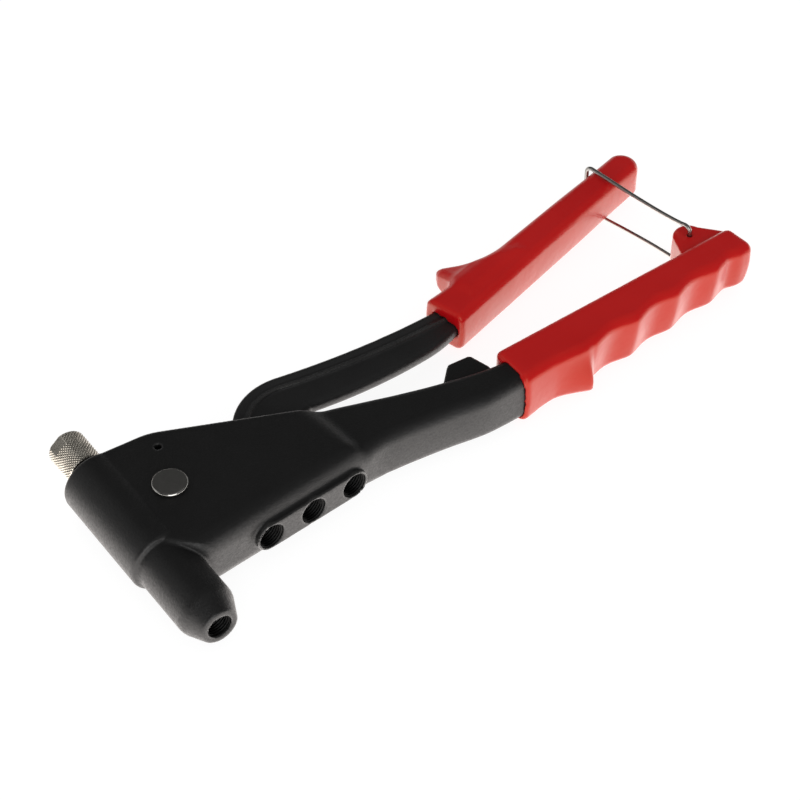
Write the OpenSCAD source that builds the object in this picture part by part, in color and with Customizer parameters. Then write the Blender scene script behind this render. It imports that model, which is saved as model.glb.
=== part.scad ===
// Hand rivet nut tool with a storage latch, lying on its lower cheek.
// Origin: centre of the nose mouth. Nose points along -Y, handles along +X, upper cheek faces +Z.
// Units are millimetres.

/* [Head] */
// Thickness across the two cheeks, also the outside diameter of the barrel
head_thick = 24.6; // [23.4:0.2:28]
// Distance from the nose mouth to the rear face
head_rear = 80.4; // [78:0.2:84]
// Distance from the nose mouth to the front end of the barrel
barrel_front = 34.5; // [32:0.5:37]
// Distance of the rear corner from the nose axis
rear_corner = 21.3; // [20:0.1:24]
// Rounding along the outer edge of the casting
outer_round = 8; // [4:0.25:9]
// Rounding of the other casting edges
edge_round = 1.4; // [0.6:0.2:2.5]

/* [Nose] */
// Diameter of the nose cylinder
nose_d = 21; // [19:0.5:22.5]
// Diameter of the rim round the nose mouth
nose_rim_d = 13.4; // [12.4:0.2:15]
// Length of the conical nose end
nose_taper = 8.4; // [6:0.2:10]
// Tapping bore of the nose thread and of the storage holes
thread_bore = 8.92; // [8.4:0.02:9.2]
// Length of the nose thread
nose_thread_len = 12; // [10:0.5:14]

/* [Storage pad] */
// Pitch of the storage holes
store_pitch = 18; // [16:0.25:20]
// Number of storage holes
store_count = 3; // [2:1:3]
// Depth of the storage holes
store_depth = 13; // [9:0.5:15]
// Height of the pad above the casting wall
pad_height = 2.6; // [1:0.1:3]
// Width of the pad
pad_width = 11.6; // [11:0.2:13]
// Distance of the first hole from the nose axis
store_first = 35.1; // [33:0.1:37]

/* [Pivot] */
// Distance of the lever pivot from the nose axis
pivot_x = 15; // [14.6:0.1:16]
// Distance of the lever pivot from the nose mouth
pivot_y = 53.5; // [52.8:0.1:55]
// Diameter of the pivot pin shank
pin_d = 8; // [7:0.1:8.6]
// Diameter of the pivot pin head
pin_head_d = 12.6; // [11:0.1:14]
// Height of the pivot pin head
pin_head_h = 1; // [0.6:0.1:1.6]
// Diameter of the lever boss round the pivot
boss_d = 14; // [13.4:0.1:14.2]
// Thickness of the lever boss
boss_thick = 14; // [13:0.2:15]
// Thickness of each pivot shim washer
shim_thick = 0.4; // [0.3:0.05:0.6]
// Diameter of the opening stop pin
stop_pin_d = 2.6; // [2:0.1:3.2]

/* [Draw mechanism] */
// Bore of the barrel that guides the draw sleeve
chamber_d = 16.6; // [16:0.1:17.2]
// Diameter of the round tips of the lever fork
fork_tip_d = 8; // [7:0.2:8.6]
// Length of the draw sleeve ahead of and behind its groove
collar_len = 8; // [6:0.25:8]
// Diameter of the drive spindle in the draw sleeve
spindle_d = 6; // [5:0.1:6.4]
// Diameter of the spindle neck in the rear bush and the knob
neck_d = 8; // [7:0.1:8.6]
// Across flats of the mandrel socket
socket_af = 5; // [4:0.1:5.5]
// Length of the rear bush
bush_len = 7; // [5:0.25:7.5]

/* [Knob] */
// Diameter of the knurled knob
knob_d = 14.2; // [13:0.2:15.6]
// Length of the knurled knob
knob_len = 15; // [13:0.25:17]
// Free space between the rear face and the knob
knob_gap = 4.6; // [4:0.1:6]
// Length of the two wrench flats at the rear of the knob
knob_flat_len = 5; // [3:0.25:6]
// Distance across the two wrench flats
knob_flat_af = 12; // [11:0.1:12.8]

/* [Fixed handle] */
// Thickness of the fixed handle
handle_thick = 18.8; // [17:0.2:20]
// Rounding of the outer edges of the fixed handle
handle_round = 2.8; // [2:0.1:4]
// Rounding of the inner edges of the fixed handle
handle_inner_round = 3; // [1.5:0.25:4]
// Distance of the step between head and handle from the nose axis
step_x = 71.5; // [70:0.25:74]
// Length of the sloping face of the step
step_len = 5.7; // [4:0.1:7]
// Distance of the grip mouths from the nose axis
mouth_x = 143.6; // [141:0.2:146]
// Thickness of the stop lug
stop_thick = 11; // [8:0.5:14]

/* [Lever] */
// Thickness of the lever web
web_thick = 5.6; // [4:0.2:6.4]
// Thickness of the raised rim
rim_thick = 8; // [6:0.2:9]
// Width of the raised rim
rim_width = 3.4; // [2.6:0.1:4.4]
// Radius of the knee behind the head
knee_r = 24.8; // [23.8:0.2:25.6]
// Radius of the long hollow curve of the outer edge
sweep_r = 317; // [300:1:340]
// Closing travel of the lever in degrees
close_deg = 5.8; // [4:0.1:6]

/* [Grips] */
// Distance of the fixed grip end from the nose axis
grip_end_x = 261; // [256:0.5:266]
// Thickness of the fixed grip at its mouth
grip_thick = 21.4; // [20.8:0.1:23]
// Thickness of the fixed grip at its end
grip_end_thick = 18.6; // [17.6:0.1:20]
// Pitch of the finger grooves
groove_pitch = 21; // [20:0.5:22]
// Depth of the finger grooves
groove_depth = 2; // [0.8:0.1:2.6]
// Length of the lever grip
lever_grip_len = 117.5; // [114:0.5:122]
// Thickness of the lever grip
lever_grip_thick = 17.4; // [16.6:0.1:18.4]
// Thickness of the latch lug on the fixed grip
lug_thick = 13; // [11:0.25:15]

/* [Latch] */
// Diameter of the latch wire
wire_d = 1.8; // [1.4:0.1:2.2]
// Inside bend radius of the latch wire
wire_bend = 1.6; // [1:0.1:2.4]
// Distance of the latch notch from the tip of the lever grip
notch_from_tip = 19.5; // [17:0.25:22]
// Free space between the latch wire and what it passes
wire_clear = 0.4; // [0.3:0.05:0.7]

/* [Hidden] */
$fn = 96;
eps = 0.01;
far = 400;
run_clear = 0.05;
seat_clear = 0.02;
soft_clear = 0.05;
fork_clear = 0.15;

head_half = head_thick / 2;
handle_half = handle_thick / 2;
boss_half = boss_thick / 2;
slot_half = boss_half + shim_thick + 2 * run_clear;
boss_r = boss_d / 2;
pin_r = pin_d / 2;
chamber_r = chamber_d / 2;
thread_r = thread_bore / 2;
thread_mouth_r = thread_r + 0.5;
pivot = [pivot_x, pivot_y];

// Head outline in plan, counter-clockwise, from the front of the barrel
front_corner = [10, 23.1];
outer_slope = 4.2;
outer_dir = [cos(outer_slope), sin(outer_slope)];
head_end_x = step_x + 8;
function on_outer(x) = [x, front_corner.y + (x - front_corner.x) * tan(outer_slope)];
inner_slope = -23.8;
rear_drop = 1.5;
rear_round = 1.25 * edge_round;
function on_inner(x) = [x, head_rear - rear_drop + (x - rear_corner) * tan(inner_slope)];
step_tilt = 9;

// Storage pad
pad_normal = [sin(outer_slope), -cos(outer_slope)];
function store_at(i) = on_outer(store_first) + i * store_pitch * outer_dir + pad_height * pad_normal;

// Sides of the fixed handle: distance from the nose, outer side, inner side
handle_sides = [[72.5, 28, 56.4], [79.5, 28.1, 54.5], [84, 29.3, 53.1], [88, 30, 51.7], [94.5, 29.7, 49.5],
    [101.5, 28.9, 47.1], [108.5, 28, 44.9], [115.6, 26.9, 42.8], [121, 25.9, 41.4], [128, 24.8, 39.7],
    [135, 24.4, 38.2], [143.6, 24.4, 37.1], [160, 24.4, 36.9]];
function handle_out(x) = lookup(x, [for (p = handle_sides) [p[0], p[1]]]);
function handle_in(x) = lookup(x, [for (p = handle_sides) [p[0], p[2]]]);
core_end_x = mouth_x + 9;
function ease(t) = t < 0 ? 0 : t > 1 ? 1 : t * t * (3 - 2 * t);

// Lever curves in plan
knee = [71.5, 57.5];
knee_end = 79;
sweep = knee + (knee_r + sweep_r) * [cos(knee_end), sin(knee_end)];
knee_exit = knee + knee_r * [cos(knee_end), sin(knee_end)];
belly_r = 205;
belly = [114.5, 61 + belly_r];
belly_start_x = 80;
function belly_y(x) = belly.y - sqrt(belly_r * belly_r - pow(x - belly.x, 2));
// Heel of the lever: a tighter arc that takes the belly into the grip mouth
heel_r = 51;
heel_x = 130;
heel_dir = asin((heel_x - belly.x) / belly_r);
heel = belly + (belly_r - heel_r) * [sin(heel_dir), -cos(heel_dir)];
neck_foot = pivot + (boss_r - 0.4) * [0.2, -sqrt(0.96)];
neck_half = rim_thick / 2;
lever_end_x = mouth_x + 4;
function turned(p, a) = [p.x * cos(a) - p.y * sin(a), p.x * sin(a) + p.y * cos(a)];
function closed(p) = pivot + turned(p - pivot, -close_deg);

// Stop lug of the fixed handle, met by the lever belly at the end of its travel
lug_x = 121;
stop_gap = 0.4;
stop_back = closed([129, belly_y(129)]) - [0, stop_gap];
stop_front = closed([137.5, belly_y(137.5)]) - [0, stop_gap + 0.5];

// Slot floor follows the closed lever
floor_gap = 1;
floor_start = closed(neck_foot) - [0, floor_gap];
floor_end = closed([belly_start_x, belly_y(belly_start_x)]) + [0.4, -floor_gap];

// Draw mechanism along the nose axis
groove_half = fork_tip_d / 2 + fork_clear;
sleeve_front = pivot_y - groove_half - collar_len;
sleeve_rear = pivot_y + groove_half + collar_len;
sleeve_core_r = spindle_d / 2 + 1.2;
prong_in = sleeve_core_r + 0.25;
washer_thick = 1;
flange_front = sleeve_rear + 0.1 + washer_thick;
flange_len = 2.4;
bush_front = head_rear - bush_len;
socket_rear = sleeve_front - 0.2;
socket_len = 24;
socket_r = 5;
chamber_front = 26;
knob_front = head_rear + knob_gap;
knob_rear = knob_front + knob_len;
knob_r = knob_d / 2;
screw_r = 1.9;

// Pivot pin retention
clip_thick = 1;
clip_recess = 2.2;
clip_r = pin_r + 2.2;
groove_r = pin_r - 0.6;
pin_bottom = -head_half + 0.5;
clip_top = -head_half + clip_recess;
stop_pin_at = [21, 71.1];

// Lever grip: local s runs to the tip, t across and away from the fixed handle
lever_dir = 14.6;
lever_root = [mouth_x - 0.1, 71.3];
function on_lever(s, t) = lever_root + turned([s, t], lever_dir);
lever_grip_half = lever_grip_thick / 2;
grip_edge = 1.7;
tip_len = 6.4;
function grip_out(s) = 5.7 + 1.4 * max(0, 1 - s / 95) + 2 * pow(max(0, 1 - s / 40), 2);
function grip_in(s) = 7.4 + 1.6 * max(0, 1 - s / 95);
function tip_round(s) = s < lever_grip_len - tip_len ? 1
    : sqrt(max(0.0004, 1 - pow((s - lever_grip_len + tip_len) / tip_len, 2)));
notch_s = lever_grip_len - notch_from_tip;
notch_depth = 0.5;
notch_r = 12;
tang_half_w = 4.6;
tang_half_t = 3.4;
tang_len = lever_grip_len - 14;
mouth_depth = 14;
grip_wall = 2.2;

// Fixed grip: sides in plan, finger grooves that fade at the end, and a guard that grows towards the lower face
grip_axis_in = 41.4;
grip_rise = 0.02733;
function fixed_in(x) = grip_axis_in + grip_rise * (x - mouth_x);
finger_line = [[143.6, 22.3], [150, 23.2], [156, 23.6], [170, 23.5], [178, 23.6], [196.5, 24.4], [217.5, 26.4],
    [238.5, 28.2], [261, 30.2]];
function groove_wave(x) = 0.5 * groove_depth * (1 - cos(360 * (x - 175.5) / groove_pitch))
    * ease((x - 175) / 3) * (1 - ease((x - grip_end_x + 15) / 8));
guard_from = 157;
guard_crest = 170.5;
guard_end = 175;
guard_depth = 4.4;
function guard_out(x) = guard_depth * max(0, min(1, (x - guard_from) / (guard_crest - guard_from)))
    * (1 - ease((x - guard_crest) / (guard_end - guard_crest)));
function finger_y(x, z) = let (half = fixed_half(x))
    lookup(x, finger_line) + groove_wave(x) * (1.15 - 0.25 * pow(z / half, 2))
    - guard_out(x) * (0.28 + 0.72 * ease((half - z) / (2 * half)));
function fixed_half(x) = grip_thick / 2
    + (grip_end_thick - grip_thick) / 2 * (x - mouth_x) / (grip_end_x - mouth_x);
fixed_tip_len = 5;
function fixed_round(x) = x < grip_end_x - fixed_tip_len ? 1
    : 0.62 + 0.38 * sqrt(max(0, 1 - pow((x - grip_end_x + fixed_tip_len) / fixed_tip_len, 2)));
core_half_w = 4.5;
core_half_t = 5.5;
core_len_end = grip_end_x - 17;
core_from = [core_end_x - 2, 31.5];
core_to = [core_len_end, 36.4];

// Latch bail between the lug of the fixed grip and the notch of the lever grip
hinge = [grip_end_x - 15.8, fixed_in(grip_end_x) + 6.4];
lug_r = 6.4;
lug_half = lug_thick / 2;
wire_r = wire_d / 2;
bar = on_lever(notch_s, grip_out(notch_s) - notch_depth + wire_r + wire_clear);
bail_len = norm(bar - hinge);
bail_dir = atan2(bar.y - hinge.y, bar.x - hinge.x);
leg_z = max(lever_grip_half, lug_half) + wire_clear + wire_r;
hook_depth = 3.2;
wire_fit = 0.1;
bend_r = wire_bend + wire_r;

// Cross section of a straight casting edge: rounded at the two faces, open inwards
module edge_profile(half, r) {
    translate([r, -half]) square([far, 2 * half]);
    translate([0, -half + r]) square([far, 2 * half - 2 * r]);
    translate([r, half - r]) circle(r);
    translate([r, -half + r]) circle(r);
}

// Everything left of the line from p to q, moved out by grow, with rounded edges
module edge_prism(p, q, half, r, grow = 0) {
    translate([p.x, p.y, 0])
        rotate([0, 0, atan2(q.y - p.y, q.x - p.x)])
            translate([-far / 2, -grow, 0])
                rotate([90, 0, 90])
                    linear_extrude(far) edge_profile(half + grow, r + grow);
}

// Sloping cut that brings the head down to the handle thickness at the step
module step_cut() {
    reach = 20;
    slope = (head_half - handle_half) / step_len;
    for (side = [0, 1])
        mirror([0, 0, side])
            translate([step_x, 45, 0])
                rotate([0, 0, step_tilt])
                    rotate([90, 0, 0])
                        linear_extrude(far, center = true)
                            polygon([[-reach, head_half + reach * slope], [reach, head_half - reach * slope],
                                [reach, far], [-reach, far]]);
}

// Solid of revolution about the nose axis, profile given as radius and distance from the mouth
module about_nose() {
    rotate([-90, 0, 0]) rotate_extrude() children();
}

module along_nose(r, from, to) {
    translate([0, from, 0]) rotate([-90, 0, 0]) cylinder(r = r, h = to - from);
}

module along_nose_fn(r, from, to, sides) {
    translate([0, from, 0]) rotate([-90, 0, 0]) cylinder(r = r, h = to - from, $fn = sides);
}

module pivot_cyl(r, from, to) {
    translate([pivot.x, pivot.y, from]) cylinder(r = r, h = to - from);
}

module head_block() {
    difference() {
        intersection() {
            edge_prism([0, barrel_front], front_corner, head_half, edge_round);
            edge_prism(front_corner, on_outer(head_end_x), head_half, outer_round);
            edge_prism(on_inner(head_end_x), on_inner(rear_corner), head_half, edge_round);
            edge_prism(on_inner(rear_corner), [0, head_rear], head_half, rear_round);
            translate([0, 0, -far / 2]) cube([head_end_x, far, far]);
        }
        step_cut();
    }
}

module barrel() {
    about_nose() {
        translate([0, barrel_front]) square([head_half - edge_round, head_rear - barrel_front]);
        translate([0, barrel_front + edge_round])
            square([head_half, head_rear - barrel_front - 2 * edge_round]);
        translate([head_half - edge_round, barrel_front + edge_round]) circle(edge_round);
        translate([head_half - edge_round, head_rear - edge_round]) circle(edge_round);
    }
}

module nose() {
    rim = 1.1;
    about_nose()
        polygon([[0, 0], [nose_rim_d / 2 - rim, 0], [nose_rim_d / 2 - 0.3 * rim, 0.3 * rim],
            [nose_rim_d / 2, rim], [nose_d / 2 - 0.5, nose_taper - 0.7], [nose_d / 2, nose_taper + 0.7],
            [nose_d / 2, barrel_front + 2], [0, barrel_front + 2]]);
}

// Rounded rectangle between two sides, with its own rounding at each side
function round_ring(low, high, half, r_low, r_high) = [for (q = [0 : 3]) for (a = [0 : 15 : 90])
    let (r = q == 0 || q == 3 ? r_high : r_low,
        side = q == 0 || q == 3 ? high - r : low + r,
        top = q < 2 ? half - r : r - half)
    [side + r * cos(90 * q + a), top + r * sin(90 * q + a)]];

// Fixed handle from inside the head to inside the grip, tucked under the head walls where it starts
handle_steps = 21;
handle_from = step_x + 1;
handle_tuck = 0.4;
function handle_edge(x) = let (w = ease((x - handle_from) / 14))
    (1 - w) * (outer_round - 1) + w * handle_round;
function handle_ring(x, grow) = let (tuck = handle_tuck * (1 - ease((x - handle_from) / 10)) - grow)
    [for (p = round_ring(handle_out(x) + tuck, handle_in(x) - tuck, handle_half + grow,
        handle_edge(x) + grow, handle_inner_round + grow))
        [x >= core_end_x ? x + grow : x, p.x, p.y]];

module handle_core(grow = 0) {
    skin([for (k = [0 : handle_steps])
        handle_ring(handle_from + k / handle_steps * (core_end_x - handle_from), grow)]);
}

// Square tang that carries the fixed grip
module handle_tang(grow = 0) {
    d = core_to - core_from;
    translate([core_from.x, core_from.y, 0])
        rotate([0, 0, atan2(d.y, d.x)])
            translate([0, -core_half_w - grow, -core_half_t - grow])
                cube([norm(d) + grow, 2 * (core_half_w + grow), 2 * (core_half_t + grow)]);
}

module stop_lug() {
    linear_extrude(stop_thick, center = true)
        polygon([[lug_x - 2, 36], [lug_x - 0.4, 41.4], stop_back - [1.2, 0.9], stop_back, stop_front,
            stop_front - [-0.9, 0.8], [mouth_x - 2.8, 40.6], [mouth_x - 2.8, 36]]);
}

module on_pad(i) {
    p = store_at(i);
    translate([p.x, p.y, 0]) rotate([90, 0, outer_slope]) children();
}

module storage_pad() {
    pad_in = 5;
    for (i = [0, store_count - 1])
        on_pad(i) translate([0, 0, -pad_in]) cylinder(d = pad_width, h = pad_in);
    on_pad(0)
        translate([0, -pad_width / 2, -pad_in])
            cube([(store_count - 1) * store_pitch, pad_width, pad_in]);
}

module storage_holes() {
    lead = thread_mouth_r - thread_r;
    for (i = [0 : store_count - 1])
        on_pad(i) {
            translate([0, 0, -store_depth]) cylinder(r = thread_r, h = store_depth + 1);
            translate([0, 0, -lead]) cylinder(r1 = thread_r, r2 = thread_mouth_r + eps, h = lead + eps);
        }
}

// Room for the lever between the cheeks, open along the inner edge
module lever_slot() {
    linear_extrude(2 * slot_half, center = true) {
        translate(pivot) circle(boss_r + 1);
        polygon([[0, pivot.y - boss_r - 0.4], pivot - [0, boss_r + 0.4], floor_start + [0, -0.6],
            floor_end, floor_end + [12, 0.8], [far / 2, head_rear + 10], [rear_corner, head_rear + 10],
            [stop_pin_at.x - 9, stop_pin_at.y + 2], [0, pivot.y + boss_r + 1]]);
    }
}

module body_casting() {
    color("#1d1d1e")
        difference() {
            union() {
                head_block();
                barrel();
                nose();
                handle_core();
                handle_tang();
                stop_lug();
                storage_pad();
            }
            along_nose(thread_r, -1, nose_thread_len + eps);
            along_nose(socket_r + 0.6, nose_thread_len, chamber_front + eps);
            along_nose(chamber_r, chamber_front, head_rear + 1);
            lever_slot();
            storage_holes();
            pivot_cyl(pin_r + seat_clear, -head_half - 1, head_half + 1);
            pivot_cyl(clip_r + 0.8, -head_half - 1, clip_top);
            translate([stop_pin_at.x, stop_pin_at.y, -head_half - 1])
                cylinder(r = stop_pin_d / 2 + seat_clear, h = head_thick + 2);
        }
}

module rear_bush() {
    color("#b58a45")
        difference() {
            along_nose(chamber_r - seat_clear, bush_front, head_rear);
            along_nose(neck_d / 2 + run_clear, bush_front - 1, head_rear + 1);
        }
}

module pivot_pin() {
    dome = 0.3;
    color("#8d9094")
        difference() {
            translate([pivot.x, pivot.y, 0])
                rotate_extrude()
                    polygon([[0, pin_bottom], [pin_r - 0.4, pin_bottom], [pin_r, pin_bottom + 0.4],
                        [pin_r, head_half + seat_clear], [pin_head_d / 2, head_half + seat_clear],
                        [pin_head_d / 2, head_half + pin_head_h - dome],
                        [pin_head_d / 2 - dome, head_half + pin_head_h], [0, head_half + pin_head_h]]);
            difference() {
                pivot_cyl(pin_r + 1, clip_top - clip_thick - 0.1, clip_top);
                pivot_cyl(groove_r, clip_top - clip_thick - 0.2, clip_top + 0.1);
            }
        }
}

module pivot_circlip() {
    gap = 3;
    color("#6f7276")
        difference() {
            pivot_cyl(clip_r, clip_top - clip_thick, clip_top - seat_clear);
            pivot_cyl(groove_r + seat_clear, clip_top - clip_thick - 1, clip_top + 1);
            translate([pivot.x - gap / 2, pivot.y, clip_top - clip_thick - 1])
                cube([gap, clip_r + 1, clip_thick + 2]);
        }
}

module pivot_shims() {
    color("#a8abae")
        for (side = [-1, 1])
            translate([pivot.x, pivot.y, side * (slot_half - seat_clear - shim_thick / 2)])
                difference() {
                    cylinder(r = boss_r - 1, h = shim_thick, center = true);
                    cylinder(r = pin_r + run_clear, h = shim_thick + 1, center = true);
                }
}

module stop_pin() {
    recess = 2.2;
    color("#55585c")
        translate([stop_pin_at.x, stop_pin_at.y, -head_half + recess])
            cylinder(d = stop_pin_d, h = head_thick - 2 * recess);
}

// Plan of the lever arm between its outer curve and its belly
module arm_plan(inset) {
    intersection() {
        union() {
            translate(knee) circle(knee_r - inset);
            difference() {
                translate([knee_exit.x, knee.y - 20]) square([lever_end_x - knee_exit.x, 60]);
                translate(sweep) circle(sweep_r + inset, $fn = 360);
            }
        }
        union() {
            translate(belly) circle(belly_r, $fn = 360);
            polygon([neck_foot, [belly_start_x, belly_y(belly_start_x)], [belly_start_x, 100], [0, 100]]);
        }
        union() {
            translate(heel) circle(heel_r, $fn = 180);
            translate([knee.x - knee_r - 2, 0]) square([heel_x - knee.x + knee_r + 2, far]);
        }
        translate([knee.x - knee_r - 2, 0]) square([lever_end_x - knee.x + knee_r + 2, far]);
    }
}

module neck_plan() {
    joint = knee + knee_r * [-cos(20), sin(20)];
    polygon([pivot + [0, boss_r - 0.4], joint, [joint.x + 3, knee.y], [belly_start_x - 26,
        neck_foot.y + (belly_y(belly_start_x) - neck_foot.y) * 0.58], neck_foot]);
}

module fork_prong(side) {
    tip_r = fork_tip_d / 2;
    arm_half = 2.6;
    z0 = side > 0 ? prong_in : -boss_half;
    translate([0, 0, z0])
        linear_extrude(boss_half - prong_in) {
            translate([0, pivot.y]) circle(tip_r);
            translate([0, pivot.y - arm_half]) square([pivot.x, 2 * arm_half]);
        }
}

module lever_tang(grow = 0) {
    translate([lever_root.x, lever_root.y, 0])
        rotate([0, 0, lever_dir])
            translate([0, -tang_half_w - grow - 1.4, -tang_half_t - grow])
                cube([tang_len + grow, 2 * (tang_half_w + grow), 2 * (tang_half_t + grow)]);
}

module lever() {
    color("#202021")
        difference() {
            union() {
                pivot_cyl(boss_r, -boss_half, boss_half);
                fork_prong(1);
                fork_prong(-1);
                linear_extrude(2 * neck_half, center = true) neck_plan();
                linear_extrude(web_thick, center = true) arm_plan(0);
                linear_extrude(rim_thick, center = true)
                    difference() {
                        arm_plan(0);
                        arm_plan(rim_width);
                    }
                lever_tang();
            }
            pivot_cyl(pin_r + 1.4, -boss_half - 1, boss_half + 1);
            along_nose(sleeve_core_r + 0.2, pivot_y - 20, pivot_y + 20);
        }
}

module lever_bush() {
    color("#b58a45")
        difference() {
            pivot_cyl(pin_r + 1.4 - seat_clear, -boss_half, boss_half);
            pivot_cyl(pin_r + run_clear, -boss_half - 1, boss_half + 1);
        }
}

// Skin over rings of points, closed by a flat face at each end
module skin(rings) {
    n = len(rings[0]);
    m = len(rings);
    pts = [for (r = rings) for (p = r) p];
    quads = [for (i = [0 : m - 2]) for (j = [0 : n - 1])
        for (f = [0, 1])
            f == 0 ? [i * n + j, (i + 1) * n + j, (i + 1) * n + (j + 1) % n]
                : [i * n + j, (i + 1) * n + (j + 1) % n, i * n + (j + 1) % n]];
    first = [[for (j = [0 : n - 1]) j]];
    last = [[for (j = [n - 1 : -1 : 0]) (m - 1) * n + j]];
    polyhedron(concat(pts, []), concat(quads, first, last), convexity = 6);
}

lever_stations = concat([for (k = [0 : 10]) k / 10 * (lever_grip_len - tip_len)],
    [for (a = [15 : 15 : 75]) lever_grip_len - tip_len + tip_len * sin(a)],
    [lever_grip_len - 0.02 * tip_len]);
function lever_ring(s) = let (w = tip_round(s), r = min(grip_edge, 0.45 * (grip_in(s) + grip_out(s)) * w))
    [for (p = round_ring(-grip_in(s) * w, grip_out(s) * w, lever_grip_half * (0.75 + 0.25 * w), r, r))
        [s, p.x, p.y]];

fixed_stations = concat([for (k = [0 : 8]) mouth_x + k / 8 * (guard_from - mouth_x)],
    [for (k = [1 : 5]) guard_from + k / 5 * (guard_crest - guard_from)],
    [for (k = [1 : 5]) guard_crest + k / 5 * (guard_end - guard_crest)],
    [for (k = [1 : 32]) guard_end + k / 32 * (grip_end_x - fixed_tip_len - guard_end)],
    [for (a = [22.5 : 22.5 : 90]) grip_end_x - fixed_tip_len + fixed_tip_len * sin(a)]);
// Rounded corner of a section: inset from the side, and height
function grip_corner(q, half) = [for (a = [90 * q : 22.5 : 90 * q + 90])
    [grip_edge * (1 - abs(cos(a))), (half - grip_edge) * (q < 2 ? 1 : -1) + grip_edge * sin(a)]];
function fixed_section(x, half) = let (high = fixed_in(x), flat = half - grip_edge)
    concat([for (p = grip_corner(0, half)) [high - p.x, p.y]],
        [for (p = grip_corner(1, half)) [finger_y(x, p.y) + p.x, p.y]],
        [for (k = [1 : 7]) let (z = flat * (1 - k / 4)) [finger_y(x, z), z]],
        [for (p = grip_corner(2, half)) [finger_y(x, p.y) + p.x, p.y]],
        [for (p = grip_corner(3, half)) [high - p.x, p.y]]);
function fixed_ring(x) = let (w = fixed_round(x), mid = (fixed_in(x) + lookup(x, finger_line)) / 2)
    [for (p = fixed_section(x, fixed_half(x) * w)) [x, mid + (p.x - mid) * w, p.y]];

module lever_fin() {
    fin_half = 5;
    linear_extrude(2 * fin_half, center = true)
        polygon([[13, 2], [15.5, grip_out(15) + 1], [18, 16.4], [20, 17.5], [24, 16], [30, 12.2],
            [37, grip_out(37) + 1.2], [45, grip_out(45) - 0.6], [45, 2]]);
}

module lever_grip() {
    color("#c4141d")
        difference() {
            translate([lever_root.x, lever_root.y, 0])
                rotate([0, 0, lever_dir])
                    difference() {
                        union() {
                            skin([for (s = lever_stations) lever_ring(s)]);
                            lever_fin();
                        }
                        translate([notch_s, grip_out(notch_s) - notch_depth + notch_r, -far / 2])
                            cylinder(r = notch_r, h = far);
                        translate([-1, -grip_in(0) + grip_wall, -lever_grip_half + grip_wall])
                            cube([mouth_depth, grip_in(0) + grip_out(0) - 2 * grip_wall,
                                lever_grip_thick - 2 * grip_wall]);
                    }
            lever_tang(soft_clear);
        }
}

module latch_lug() {
    linear_extrude(lug_thick, center = true) {
        translate(hinge) circle(lug_r);
        polygon([[hinge.x - lug_r - 5, fixed_in(hinge.x) - 4], [hinge.x - lug_r - 3, fixed_in(hinge.x)],
            hinge + lug_r * [cos(150), sin(150)], hinge + lug_r * [cos(20), sin(20)],
            [grip_end_x - 2.5, fixed_in(grip_end_x) + 0.2], [grip_end_x - 3, fixed_in(grip_end_x) - 4]]);
    }
}

module fixed_grip() {
    color("#c4141d")
        difference() {
            union() {
                skin([for (x = fixed_stations) fixed_ring(x)]);
                latch_lug();
            }
            handle_core(soft_clear);
            handle_tang(soft_clear);
            translate([hinge.x, hinge.y, 0]) cylinder(r = wire_r + wire_fit, h = far, center = true);
        }
}

module draw_sleeve() {
    r = chamber_r - 0.1;
    color("#7d8085")
        difference() {
            union() {
                along_nose(r, sleeve_front, pivot_y - groove_half);
                along_nose(sleeve_core_r, sleeve_front, sleeve_rear);
                along_nose(r, pivot_y + groove_half, sleeve_rear);
            }
            along_nose(spindle_d / 2 + run_clear, sleeve_front - 1, sleeve_rear + 1);
        }
}

module drive_spindle() {
    color("#85888d")
        union() {
            along_nose(spindle_d / 2, socket_rear - 9, flange_front + eps);
            along_nose(chamber_r - 1.6, flange_front, flange_front + flange_len);
            along_nose(neck_d / 2, flange_front + flange_len - eps, knob_rear - 1.5);
        }
}

module thrust_washer() {
    color("#b58a45")
        difference() {
            along_nose(chamber_r - 1.2, flange_front - washer_thick, flange_front - seat_clear);
            along_nose(spindle_d / 2 + seat_clear, sleeve_rear, flange_front + 1);
        }
}

// Socket that takes the mandrel, screwed on the front of the spindle
module mandrel_socket() {
    color("#7d8085")
        difference() {
            along_nose(socket_r, socket_rear - socket_len, socket_rear);
            along_nose(spindle_d / 2 + seat_clear, socket_rear - 9 - seat_clear, socket_rear + 1);
            along_nose_fn(socket_af / 2 / cos(30), socket_rear - socket_len - 1, socket_rear - 9, 6);
        }
}

module knurled_knob() {
    edge = 0.7;
    color("#b4b6b8")
        difference() {
            intersection() {
                about_nose()
                    polygon([[0, knob_front], [knob_r - edge, knob_front], [knob_r, knob_front + edge],
                        [knob_r, knob_rear - edge], [knob_r - edge, knob_rear], [0, knob_rear]]);
                union() {
                    translate([-far / 2, knob_front - 1, -far / 2])
                        cube([far, knob_len + 1 - knob_flat_len, far]);
                    rotate([0, -40, 0])
                        translate([-far / 2, knob_front, -knob_flat_af / 2])
                            cube([far, knob_len + 1, knob_flat_af]);
                }
            }
            along_nose(neck_d / 2 + seat_clear, knob_front - 1, knob_rear - 1.5 + seat_clear);
            translate([0, knob_front + 4, 0]) rotate([180, 0, 0]) cylinder(r = screw_r, h = knob_r + 1);
        }
}

module knob_screw() {
    color("#3a3b3d")
        translate([0, knob_front + 4, -neck_d / 2 - 0.05])
            rotate([180, 0, 0])
                difference() {
                    cylinder(r = screw_r - seat_clear, h = knob_r - neck_d / 2 - 0.5);
                    translate([0, 0, 0.9]) cylinder(r = 1, h = 5, $fn = 6);
                }
}

// Quarter bend of the wire: enters along -X, leaves along -Z
module wire_elbow() {
    rotate([90, 0, 0])
        rotate_extrude(angle = 90) translate([bend_r, 0]) circle(wire_r);
}

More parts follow.
